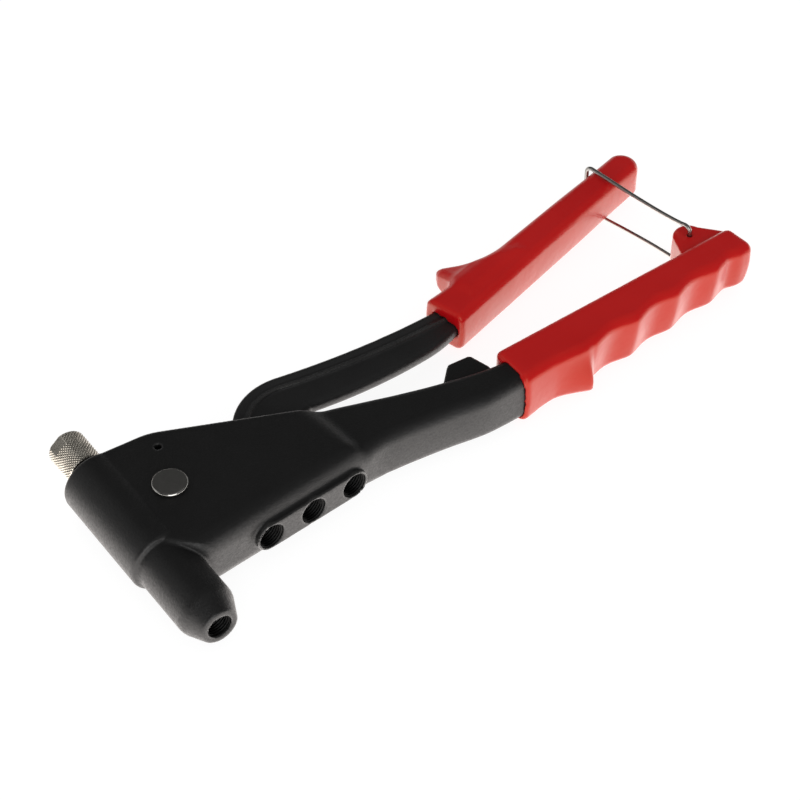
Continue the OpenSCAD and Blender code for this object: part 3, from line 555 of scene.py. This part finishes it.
def net(field, low, high, step):
    """Points, quads and edge sharpness of the surface where a field is zero: the field is sampled on a grid,
    each grid cell that the surface crosses gets the mean of its edge crossings as its point, each crossed grid
    edge gets a quad of the four cells round it, and the points are then moved along the field's slope onto the
    surface. The sharpness is the field's second difference summed over the axes, above zero on edges and below
    zero in hollows."""
    axes = [np.arange(a - 2 * step, b + 3 * step, step, dtype=np.float32) for a, b in zip(low, high)]
    f = field(*np.meshgrid(*axes, indexing="ij")).astype(np.float32)
    inside = f < 0
    n = [k - 1 for k in f.shape]
    ways = [(i, j, k) for i in (0, 1) for j in (0, 1) for k in (0, 1)]
    views = [inside[i:i + n[0], j:j + n[1], k:k + n[2]] for i, j, k in ways]
    filled = sum(v.astype(np.uint8) for v in views)
    cells = np.argwhere((filled > 0) & (filled < 8))
    corner = {w: f[cells[:, 0] + w[0], cells[:, 1] + w[1], cells[:, 2] + w[2]] for w in ways}
    total = np.zeros((len(cells), 3))
    count = np.zeros(len(cells))
    for w in ways:
        for axis in range(3):
            if w[axis] == 0:
                far = tuple(1 if k == axis else w[k] for k in range(3))
                a, b = corner[w], corner[far]
                cross = (a < 0) != (b < 0)
                t = np.where(cross, a / np.where(cross, a - b, 1), 0)
                at = np.tile(np.array(w, float), (len(cells), 1))
                at[:, axis] += t
                total += at * cross[:, None]
                count += cross
    points = np.array([a[0] for a in axes]) + (cells + total / count[:, None]) * step
    number = np.full(n, -1, np.int64)
    number[tuple(cells.T)] = np.arange(len(cells))
    quads = []
    for axis in range(3):
        b, c = (axis + 1) % 3, (axis + 2) % 3
        near = [slice(1, -1)] * 3
        past = [slice(1, -1)] * 3
        near[axis], past[axis] = slice(0, -1), slice(1, None)
        first, second = inside[tuple(near)], inside[tuple(past)]
        at = np.argwhere(first != second)
        out = first[tuple(at.T)]
        ring = []
        for db, dc in ((0, 0), (1, 0), (1, 1), (0, 1)):
            cell = at.copy()
            cell[:, b] += db
            cell[:, c] += dc
            ring.append(number[tuple(cell.T)])
        ring = np.stack(ring, 1)
        quads.append(np.where(out[:, None], ring, ring[:, ::-1]))
    small, most, rounds = step * 0.05, 0.4 * step, 3
    for _ in range(rounds):
        here = field(*points.T)
        slope = np.stack([(field(*(points + small * d).T) - here) / small for d in np.eye(3)], 1)
        move = here[:, None] * slope / np.maximum((slope ** 2).sum(1), 0.2)[:, None]
        points = points - np.clip(move, -most, most)
    reach = 0.6
    around = sum(field(*(points + reach * d).T) + field(*(points - reach * d).T) for d in np.eye(3))
    return points, np.vstack(quads), (around - 6 * field(*points.T)) / reach ** 2


def steps_round(count):
    """Angles of that many even steps round a circle."""
    return np.linspace(0, 2 * math.pi, count + 1)[:-1]


def weave(points):
    """Points and quads of a grid of points that is closed round its first direction."""
    m, n = points.shape[:2]
    a, b = np.meshgrid(np.arange(m), np.arange(n - 1), indexing="ij")
    c, d = (a + 1) % m, b + 1
    quads = np.stack([a * n + b, c * n + b, c * n + d, a * n + d], -1).reshape(-1, 4)
    return points.reshape(-1, 3), quads


def piece(name, shape, material, body, slot, *nodes):
    """One mesh object at the origin from points in millimetres, quads and an optional edge sharpness for its
    points, riding on a body, in place of the named nodes."""
    points, quads = shape[:2]
    mesh = bpy.data.meshes.new(name)
    mesh.vertices.add(len(points))
    mesh.vertices.foreach_set("co", np.ascontiguousarray(points * MM, np.float32).ravel())
    mesh.loops.add(quads.size)
    mesh.loops.foreach_set("vertex_index", np.ascontiguousarray(quads, np.int32).ravel())
    mesh.polygons.add(len(quads))
    mesh.polygons.foreach_set("loop_start", np.arange(0, quads.size, 4, dtype=np.int32))
    mesh.polygons.foreach_set("use_smooth", np.ones(len(quads), bool))
    mesh.update(calc_edges=True)
    if mesh.validate():
        raise RuntimeError(name + " has faulty faces")
    if len(shape) > 2:
        # Edge sharpness kept for the coat's greyer edges, partly wear and partly a painted highlight.
        wear_and_highlight_values = mesh.attributes.new(EDGE_WEAR_AND_HIGHLIGHT, "FLOAT", "POINT")
        wear_and_highlight_values.data.foreach_set("value", shape[2].astype(np.float32))
    mesh.materials.append(material)
    obj = bpy.data.objects.new(name, mesh)
    bpy.context.scene.collection.objects.link(obj)
    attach(obj, body)
    if nodes:
        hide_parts(*nodes)
    return obj


# Materials


def put(tree, kind, links=None, values=None, **settings):
    """Adds a node, sets its own settings and socket values, and links its inputs to (node, output) pairs."""
    node = tree.nodes.new(kind)
    for key, value in settings.items():
        setattr(node, key, value)
    for key, value in (values or {}).items():
        node.inputs[key].default_value = value
    feed(tree, node, links or {})
    return node


def feed(tree, node, links):
    """Links a node's inputs to (node, output) pairs."""
    for key, (source, output) in links.items():
        tree.links.new(source.outputs[output], node.inputs[key])


def noise(tree, place, size, **values):
    """Noise on Object coordinates whose cells are size millimetres wide."""
    return put(tree, "ShaderNodeTexNoise", {"Vector": (place, "Object")}, {"Scale": per_mm(size), **values})


def uneven(tree, source, low, high):
    """Value that runs from low to high over the usual span of a noise."""
    return put(tree, "ShaderNodeMapRange", {"Value": (source, "Fac")},
               {"From Min": 0.3, "From Max": 0.7, "To Min": low, "To Max": high})


def blend(tree, factor, a, b):
    """Mix of two colours by a (node, output) pair."""
    node = put(tree, "ShaderNodeMix", {"Factor": factor}, data_type="RGBA")
    node.inputs["A"].default_value = a
    node.inputs["B"].default_value = b
    return node


def scaled(tint, factor):
    """A colour with its channels multiplied."""
    return [c * factor for c in tint[:3]] + [1.0]


def surface(name, **values):
    """A new material with its Principled shader's sockets set, its node tree and the shader."""
    material = bpy.data.materials.new(name)
    material.use_nodes = True
    shader = material.node_tree.nodes["Principled BSDF"]
    for key, value in values.items():
        shader.inputs[key.replace("_", " ")].default_value = value
    return material, material.node_tree, shader


def powder_coat(name, tint, grain, roughness):
    """Powder coat over cast or forged metal: an even black whose fine orange peel breaks soft highlights into
    specks, with cloudy gloss, and on sharp edges a thinner, smoother coat painted greyer, partly as wear and
    partly as a painted highlight."""
    material, tree, shader = surface(name, Roughness=roughness)
    place = put(tree, "ShaderNodeTexCoord")
    # The peel is drawn coarser than on a real coat, so that it shows at the picture's size.
    peel = noise(tree, place, grain, Detail=3.0, Roughness=0.65)
    cloud = noise(tree, place, 14, Detail=4.0)
    edge = put(tree, "ShaderNodeAttribute", attribute_name=EDGE_WEAR_AND_HIGHLIGHT)
    # Convex edges get a smoother coat and a lighter grey, partly wear and partly a painted highlight.
    worn_and_lit_edges = put(tree, "ShaderNodeMapRange", {"Value": (edge, "Fac")},
               {"From Min": 0.45, "From Max": 1.6, "To Max": 0.5})
    patchy_wear_and_highlight = put(tree, "ShaderNodeMath", {0: (worn_and_lit_edges, "Result"), 1: (cloud, "Fac")}, operation="MULTIPLY")
    clouded = blend(tree, (cloud, "Fac"), tint, scaled(tint, 1.6))
    # Painted highlight and wear: sharp edges blended up to half way towards mid grey.
    rubbed_and_highlit = blend(tree, (patchy_wear_and_highlight, "Value"), tint, linear("#4b4a49"))
    feed(tree, rubbed_and_highlit, {"A": (clouded, "Result")})
    rough = uneven(tree, peel, roughness - 0.1, roughness + 0.1)
    smooth = put(tree, "ShaderNodeMath", {0: (rough, "Result"), 1: (patchy_wear_and_highlight, "Value")}, operation="SUBTRACT")
    bump = put(tree, "ShaderNodeBump", {"Height": (peel, "Fac")}, {"Strength": 0.7, "Distance": grain * MM * 0.21})
    feed(tree, shader, {"Base Color": (rubbed_and_highlit, "Result"), "Roughness": (smooth, "Value"), "Normal": (bump, "Normal")})
    return material


def vinyl(s):
    """Moulded soft vinyl: a saturated red with a satin skin whose pigment warms the highlights, faint flow
    mottling and shallow unevenness that spreads them."""
    material, tree, shader = surface("Moulded red vinyl", Roughness=0.33, IOR=1.5,
                                     Specular_Tint=(1.0, 0.78, 0.5, 1.0))
    place = put(tree, "ShaderNodeTexCoord")
    flow = noise(tree, place, 22, Detail=3.0)
    pebble = noise(tree, place, to_mm(s.pebble), Detail=2.0)
    sink = noise(tree, place, 9, Detail=2.0)
    mottled = blend(tree, (flow, "Fac"), scaled(s.vinyl, 0.82), list(s.vinyl))
    rough = put(tree, "ShaderNodeMapRange", {"Value": (flow, "Fac")}, {"To Min": 0.28, "To Max": 0.38})
    wavy = put(tree, "ShaderNodeBump", {"Height": (sink, "Fac")}, {"Strength": 0.5, "Distance": 0.0005})
    bump = put(tree, "ShaderNodeBump", {"Height": (pebble, "Fac"), "Normal": (wavy, "Normal")},
               {"Strength": 0.12, "Distance": 0.0001})
    feed(tree, shader, {"Base Color": (mottled, "Result"), "Roughness": (rough, "Result"),
                        "Normal": (bump, "Normal")})
    return material


def bare_metal(name, tint, roughness, mark, depth=FINE_MARK):
    """Bare or plated metal: a tinted mirror broken by fine tool marks, with slightly uneven gloss."""
    material, tree, shader = surface(name, Base_Color=tint, Metallic=1.0, Roughness=roughness)
    marks = noise(tree, put(tree, "ShaderNodeTexCoord"), mark, Detail=3.0)
    rough = uneven(tree, marks, roughness * 0.8, roughness * 1.3)
    bump = put(tree, "ShaderNodeBump", {"Height": (marks, "Fac")}, {"Strength": 0.2, "Distance": depth})
    feed(tree, shader, {"Roughness": (rough, "Result"), "Normal": (bump, "Normal")})
    return material


def look(context):
    """The tool's settings."""
    return context.scene.rivet_nut_tool


class ToolLook(PropertyGroup):
    """All settings of the tool."""
    casting: PointerProperty(type=CastingLook)
    lever: PointerProperty(type=LeverLook)
    grips: PointerProperty(type=GripLook)
    metal: PointerProperty(type=MetalLook)
    stage: PointerProperty(type=StageLook)


# Pieces


class RNT_OT_casting(Operator):
    """Makes the casting from its field and cuts threads into its nose and storage holes"""
    bl_idname = "rnt.casting"
    bl_label = "Casting and threads"

    def execute(self, context):
        s = look(context).casting
        coat = powder_coat("Powder-coated casting", list(s.coat), to_mm(s.grain), 0.5)
        fillet = to_mm(s.nose_fillet)
        shape = net(lambda x, y, z: casting(x, y, z, fillet), (-HEAD_HALF, 0, -HEAD_HALF),
                    (244, HEAD_REAR, HEAD_HALF), to_mm(s.mesh))
        piece("cast_body", shape, coat, "frame", "black_casting", "body_casting")
        # Threads in a dark steel colour, close to the casting's coat.
        tapped = bare_metal("Dark tapped steel", linear("#242424"), 0.5, 0.4)
        away = (PAD_RUN[1], -PAD_RUN[0])
        holes = [("nose_thread", (0, 0), (0, -1), NOSE_THREAD_LEN)]
        for i in range(STORE_COUNT):
            holes.append(("store_thread_%d" % (i + 1), pad_point(STORE_PITCH * i), away, STORE_THREAD_LEN))
        for name, mouth, out, deep in holes:
            shape = thread(mouth, out, deep, to_mm(s.pitch), to_mm(s.thread_depth))
            piece(name, shape, tapped, "frame", "black_casting")
        return {"FINISHED"}


def thread(mouth, out, deep, pitch, depth):
    """Threaded wall of a hole, seen from inside: a fixed radius less a ridge that rises and falls linearly once
    per pitch along the depth, shifted by the turn angle so that the ridge is a helix."""
    along = np.linspace(0.6, deep, int(deep / pitch * 8))
    a, w = np.meshgrid(steps_round(72), along, indexing="ij")
    phase = (w / pitch - a / (2 * math.pi)) % 1
    ridge = np.clip(1.3 - 2.6 * np.abs(phase - 0.5), 0, 1) * ease((w - 0.3) / 1.2)
    r = THREAD_R - depth * ridge
    side = (-out[1], out[0])
    across, up = r * np.cos(a), r * np.sin(a)
    x, y = (mouth[k] + side[k] * across - out[k] * w for k in (0, 1))
    points, quads = weave(np.stack([x, y, up], -1))
    return points, quads[:, ::-1]


class RNT_OT_lever(Operator):
    """Makes the forged lever from its field"""
    bl_idname = "rnt.lever"
    bl_label = "Lever"

    def execute(self, context):
        s = look(context).lever
        coat = powder_coat("Satin black forging", list(s.coat), 0.7, 0.46)
        edge = to_mm(s.edge)
        shape = net(lambda x, y, z: lever_arm(x, y, z, edge), (-FORK_R, 46, -BOSS_HALF), (246, 101, BOSS_HALF),
                    to_mm(s.mesh))
        piece("lever_forging", shape, coat, "lever", "black_lever", "lever")
        return {"FINISHED"}


class RNT_OT_grips(Operator):
    """Moulds the two vinyl grips from their fields"""
    bl_idname = "rnt.grips"
    bl_label = "Grips"

    def execute(self, context):
        s = look(context).grips
        red = vinyl(s)
        edge, groove, step = to_mm(s.edge), to_mm(s.groove), to_mm(s.mesh)
        shape = net(lambda x, y, z: fixed_grip(x, y, z, edge, groove), (141, 15, -FIXED_HALF),
                    (GRIP_END, 58, FIXED_HALF), step)
        piece("fixed_moulding", shape, red, "frame", "red_grip", "fixed_grip")
        shape = net(lambda x, y, z: lever_grip(x, y, z, edge), (141, 62, -LEVER_HALF), (262, 109, LEVER_HALF),
                    step)
        piece("lever_moulding", shape, red, "lever", "red_grip", "lever_grip")
        return {"FINISHED"}


class RNT_OT_knob(Operator):
    """Turns and knurls the drive knob"""
    bl_idname = "rnt.knob"
    bl_label = "Knurled knob"

    def execute(self, context):
        s = look(context).metal
        nickel = bare_metal("Knurled nickel plate", list(s.nickel), 0.24, 0.25)
        shape = knob(s.knurls, to_mm(s.knurl_depth))
        piece("knurled_drive_knob", shape, nickel, "spindle", "nickel", "knurled_knob")
        return {"FINISHED"}


def knob(count, depth):
    """Knob turned about the nose axis: a fixed radius less the deeper of two sets of helical V grooves, limited
    by two flats at the rear and by chamfers at both ends, with the front face run in to the bore and the rear
    face to the axis."""
    turn = steps_round(count * 8)
    cell = 2 * math.pi * KNOB_R / count
    body = np.linspace(KNOB_FRONT, KNOB_REAR, int((KNOB_REAR - KNOB_FRONT) / cell * 8))
    a, w = np.meshgrid(turn, body, indexing="ij")
    one = np.abs(((a * count / (2 * math.pi) + w / cell) % 1) * 2 - 1)
    two = np.abs(((a * count / (2 * math.pi) - w / cell) % 1) * 2 - 1)
    r = KNOB_R - depth * np.clip(1 - np.minimum(one, two) * 1.5, 0, 1)
    r = np.minimum(r, KNOB_R - KNOB_CHAMFER + np.minimum(w - KNOB_FRONT, KNOB_REAR - w))
    flat = KNOB_FLAT / np.maximum(np.abs(np.sin(a - KNOB_FLAT_TURN)), 0.05)
    r = np.where(w > KNOB_REAR - KNOB_FLAT_LEN, np.minimum(r, flat), r)

    def ring(radius, y):
        """One ring of the profile at a height along the axis."""
        return np.stack([np.broadcast_to(radius, len(turn)), np.full(len(turn), y)], -1)[:, None]

    rear = [ring(r[:, -1] * k, KNOB_REAR) for k in (0.5, 0.001)]
    profile = np.concatenate([ring(KNOB_BORE_R, KNOB_FRONT), np.stack([r, w], -1)] + rear, 1)
    radius, y, angle = profile[..., 0], profile[..., 1], turn[:, None]
    return weave(np.stack([radius * np.cos(angle), y, radius * np.sin(angle)], -1))


class RNT_OT_pin(Operator):
    """Turns the pivot pin's head and shank"""
    bl_idname = "rnt.pin"
    bl_label = "Pivot pin"

    def execute(self, context):
        s = look(context).metal
        steel = bare_metal("Ground pin steel", list(s.pin), 0.14, 1.5, GROUND_MARK)
        piece("pivot_pin_turned", pin(), steel, "frame", "pin_steel", "pivot_pin")
        return {"FINISHED"}


def pin():
    """Pin turned about the pivot: a profile of radius and height, with a slightly domed head and rolled rim."""
    top = HEAD_HALF
    dome = [(PIN_HEAD_R * math.sin(t), top + 0.86 + 0.14 * math.cos(t)) for t in np.linspace(0.02, 1.13, 10)]
    rim = [(5.6 + PIN_RIM * math.sin(t), top + 0.28 + PIN_RIM * math.cos(t)) for t in np.linspace(0.43, 1.57, 9)]
    shank = [(PIN_HEAD_R, top + 0.03), (PIN_R, top + 0.02), (PIN_R, -9.7)]
    groove = [(PIN_GROOVE_R, -9.72), (PIN_GROOVE_R, -11.1)]
    end = [(PIN_R, -11.12), (PIN_R, -11.4), (3.6, -11.8), (0.01, -11.8)]
    profile = np.array(dome + rim + shank + groove + end)[::-1]
    a, k = np.meshgrid(steps_round(128), np.arange(len(profile)), indexing="ij")
    r, h = profile[k, 0], profile[k, 1]
    return weave(np.stack([PIVOT[0] + r * np.cos(a), PIVOT[1] + r * np.sin(a), h], -1))


class RNT_OT_bail(Operator):
    """Bends the latch wire"""
    bl_idname = "rnt.bail"
    bl_label = "Latch wire"

    def execute(self, context):
        s = look(context).metal
        wire = bare_metal("Drawn spring wire", list(s.wire), 0.32, 0.4)
        piece("latch_wire", bail(to_mm(s.bow)), wire, "bail", "wire_steel", "latch_bail")
        return {"FINISHED"}


def bail(bow):
    """Wire of round section carried along a flat path: hook, bend, leg, bend, bar, bend, leg, bend, hook.
    The legs bow towards each other by half a sine that is drawn towards the hinge, and the lower one
    spreads towards the bar."""
    s, c = math.sin(math.radians(LEVER_DIR)), math.cos(math.radians(LEVER_DIR))
    t = GRIP_BACK - NOTCH_DEEP + WIRE_R + WIRE_GAP
    bar = (LEVER_ROOT[0] + NOTCH_S * c - t * s, LEVER_ROOT[1] + NOTCH_S * s + t * c)
    reach = math.hypot(bar[0] - HINGE[0], bar[1] - HINGE[1])
    d = ((bar[0] - HINGE[0]) / reach, (bar[1] - HINGE[1]) / reach)
    quarter = np.linspace(0, math.pi / 2, 9)
    r, z = BEND_R, LEG_Z
    k = np.linspace(0, 1, 25)
    half = [np.stack([np.zeros(4), np.linspace(HOOK_Z, z - r, 4)], -1),
            np.stack([r - r * np.cos(quarter), z - r + r * np.sin(quarter)], -1),
            np.stack([r + (reach - 2 * r) * k, z - bow * np.sin(math.pi * k ** BOW_LEAN)], -1),
            np.stack([reach - r + r * np.sin(quarter), z - r + r * np.cos(quarter)], -1),
            np.stack([np.full(4, reach), np.linspace(z - r, 0, 4)], -1)]
    upper = np.concatenate([h[1:] if i else h for i, h in enumerate(half)])
    lower = upper.copy()
    lower[:, 1] *= -LEG_LOWER - LEG_SPREAD * lower[:, 0] / reach
    path = np.concatenate([upper, lower[::-1][1:]])
    step = np.gradient(path, axis=0)
    step /= np.linalg.norm(step, axis=1)[:, None]
    a, i = np.meshgrid(steps_round(20), np.arange(len(path)), indexing="ij")
    ring = np.concatenate([[0.05], np.full(len(path) - 2, WIRE_SHOWN_R), [0.05]])[i]
    along = path[i, 0] - step[i, 1] * ring * np.cos(a)
    up = path[i, 1] + step[i, 0] * ring * np.cos(a)
    aside = ring * np.sin(a)
    x, y = HINGE[0] + d[0] * along - d[1] * aside, HINGE[1] + d[1] * along + d[0] * aside
    points, quads = weave(np.stack([x, y, up], -1))
    return points, quads[:, ::-1]


class RNT_OT_finishes(Operator):
    """Gives the turned inner pieces and the small hardware their metals"""
    bl_idname = "rnt.finishes"
    bl_label = "Inner pieces"

    def execute(self, context):
        s = look(context).metal
        metals = ((bare_metal("Turned steel", list(s.steel), 0.33, 0.3),
                   ("drive_spindle", "draw_sleeve", "mandrel_socket")),
                  (bare_metal("Bearing bronze", list(s.bronze), 0.38, 0.3), ("lever_bush",)),
                  (bare_metal("Stamped spring steel", linear("#5c5e60"), 0.36, 0.4),
                   ("pivot_circlip", "pivot_shims", "thrust_washer")),
                  (bare_metal("Black oxide steel", linear("#141415"), 0.5, 0.3),
                   ("knob_screw", "stop_pin", "rear_bush")))
        for material, names in metals:
            for name in names:
                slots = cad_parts[name].data.materials
                slots.clear()
                slots.append(material)
        return {"FINISHED"}


# Stage, in metres: half side of the floor and its gap below the tool, where the lamps aim, and the camera
FLOOR_HALF, FLOOR_GAP = 3, 0.00005
LAMP_AIM = (0.12, 0.05, 0.0)
PHOTO_EYE, PHOTO_AIM = (-0.2212, -0.4043, 0.5706), (0.108, 0.0496, 0.0)
SENSOR_MM, LENS_MM = 36.0, 100.8


def stand(name, data, place, aim):
    """A lamp or camera at a place, looking at a point."""
    obj = bpy.data.objects.new(name, data)
    obj.location = place
    obj.rotation_euler = (Vector(aim) - Vector(place)).to_track_quat("-Z", "Y").to_euler()
    bpy.context.scene.collection.objects.link(obj)
    return obj


class RNT_OT_stage(Operator):
    """Sets the floor, the softboxes, the world and the camera"""
    bl_idname = "rnt.stage"
    bl_label = "Stage"

    def execute(self, context):
        s = look(context).stage
        scene = context.scene
        scene.view_settings.view_transform = "Standard"
        floor_z = CAD_BOX[0][2] - FLOOR_GAP
        corners = [(u * FLOOR_HALF, v * FLOOR_HALF, floor_z) for u, v in ((-1, -1), (1, -1), (1, 1), (-1, 1))]
        mesh = bpy.data.meshes.new("studio_floor")
        mesh.from_pydata(corners, [], [(0, 1, 2, 3)])
        mesh.materials.append(studio_floor(s))
        floor = bpy.data.objects.new("studio_floor", mesh)
        scene.collection.objects.link(floor)
        scene.world = studio_world()
        lamps = (("front_softbox", (-0.35, -0.95, 0.5), 0.9, s.front),
                 ("top_softbox", (0.25, 0.1, 1.1), 0.8, s.top),
                 ("left_softbox", (-0.58, 0.6, 0.73), 0.6, s.left))
        for name, place, size, watts in lamps:
            light = bpy.data.lights.new(name, "AREA")
            light.shape, light.size, light.energy = "SQUARE", size, watts
            stand(name, light, place, LAMP_AIM)
        camera = bpy.data.cameras.new("photo_camera")
        camera.sensor_width, camera.lens, camera.clip_start = SENSOR_MM, LENS_MM, 0.01
        scene.camera = stand("photo_camera", camera, PHOTO_EYE, PHOTO_AIM)
        return {"FINISHED"}


def studio_floor(s):
    """Lit white table: white to the eye, with a share of matt white that takes the object's soft shadow,
    brighter in reflections on the lit side in front of the object, and a plain white glow on the object from
    below."""
    material = bpy.data.materials.new("Lit white table")
    material.use_nodes = True
    tree = material.node_tree
    tree.nodes.clear()
    path = put(tree, "ShaderNodeLightPath")
    mirror = put(tree, "ShaderNodeMath", {0: (path, "Is Glossy Ray"), 1: (path, "Is Transmission Ray")},
                 operation="MAXIMUM")
    matt = put(tree, "ShaderNodeBsdfDiffuse", values={"Color": list(s.floor)})
    white = put(tree, "ShaderNodeEmission", values={"Strength": 1.12})
    glow = put(tree, "ShaderNodeEmission", values={"Strength": 0.95})
    place = put(tree, "ShaderNodeTexCoord")
    apart = put(tree, "ShaderNodeSeparateXYZ", {"Vector": (place, "Object")})
    fade = put(tree, "ShaderNodeMapRange", {"Value": (apart, "Y")},
               {"From Min": 0.095, "From Max": 0.125, "To Min": s.table, "To Max": 0.9},
               interpolation_type="SMOOTHSTEP")
    bright = put(tree, "ShaderNodeEmission", {"Strength": (fade, "Result")}, {"Color": (1.0, 0.95, 0.92, 1.0)})
    view = put(tree, "ShaderNodeMixShader", {1: (matt, "BSDF"), 2: (white, "Emission")}, {0: 0.8})
    lit = put(tree, "ShaderNodeMixShader", {0: (mirror, "Value"), 1: (glow, "Emission"), 2: (bright, "Emission")})
    mix = put(tree, "ShaderNodeMixShader", {0: (path, "Is Camera Ray"), 1: (lit, "Shader"), 2: (view, "Shader")})
    put(tree, "ShaderNodeOutputMaterial", {"Surface": (mix, "Shader")})
    return material


def studio_world():
    """Even studio light: white to the eye, dimmer as a light, and darker overhead where reflections show it."""
    world = bpy.data.worlds.new("studio_world")
    world.use_nodes = True
    tree = world.node_tree
    tree.nodes.clear()
    place = put(tree, "ShaderNodeTexCoord")
    height = put(tree, "ShaderNodeSeparateXYZ", {"Vector": (place, "Generated")})
    fade = put(tree, "ShaderNodeMapRange", {"Value": (height, "Z")},
               {"From Min": -0.02, "From Max": 0.28, "To Min": 1.2, "To Max": 0.045},
               interpolation_type="SMOOTHSTEP")
    path = put(tree, "ShaderNodeLightPath")
    gloss = put(tree, "ShaderNodeBackground", {"Strength": (fade, "Result")}, {"Color": (1, 1, 1, 1)})
    ambient = put(tree, "ShaderNodeBackground", values={"Color": (1, 1, 1, 1), "Strength": 0.6})
    white = put(tree, "ShaderNodeBackground", values={"Color": (1, 1, 1, 1), "Strength": 1.0})
    first = put(tree, "ShaderNodeMixShader",
                {0: (path, "Is Glossy Ray"), 1: (ambient, "Background"), 2: (gloss, "Background")})
    last = put(tree, "ShaderNodeMixShader",
               {0: (path, "Is Camera Ray"), 1: (first, "Shader"), 2: (white, "Background")})
    put(tree, "ShaderNodeOutputWorld", {"Surface": (last, "Shader")})
    return world


class RNT_PT_panel(Panel):
    """Lists the tool's pieces and settings"""
    bl_idname = "RNT_PT_panel"
    bl_label = "Rivet nut tool"
    bl_space_type = "VIEW_3D"
    bl_region_type = "UI"
    bl_category = "Rivet nut tool"

    def draw(self, context):
        settings = look(context)
        for group in (settings.casting, settings.lever, settings.grips, settings.metal, settings.stage):
            box = self.layout.box()
            for key in group.__annotations__:
                box.prop(group, key)
        for operator in STEPS:
            self.layout.operator(operator.bl_idname)


STEPS = (RNT_OT_stage, RNT_OT_casting, RNT_OT_lever, RNT_OT_grips, RNT_OT_knob, RNT_OT_pin, RNT_OT_bail,
         RNT_OT_finishes)
CLASSES = (CastingLook, LeverLook, GripLook, MetalLook, StageLook, ToolLook) + STEPS + (RNT_PT_panel,)


def register():
    """Adds the classes and the settings to Blender."""
    for item in CLASSES:
        bpy.utils.register_class(item)
    bpy.types.Scene.rivet_nut_tool = PointerProperty(type=ToolLook)


def unregister():
    """Takes them out again."""
    del bpy.types.Scene.rivet_nut_tool
    for item in reversed(CLASSES):
        bpy.utils.unregister_class(item)


def main():
    """Builds the whole scene."""
    register()
    bpy.ops.rnt.stage()
    bpy.ops.rnt.casting()
    bpy.ops.rnt.lever()
    bpy.ops.rnt.grips()
    bpy.ops.rnt.knob()
    bpy.ops.rnt.pin()
    bpy.ops.rnt.bail()
    bpy.ops.rnt.finishes()
    bpy.context.view_layer.update()


if __name__ == "__main__":
    main()
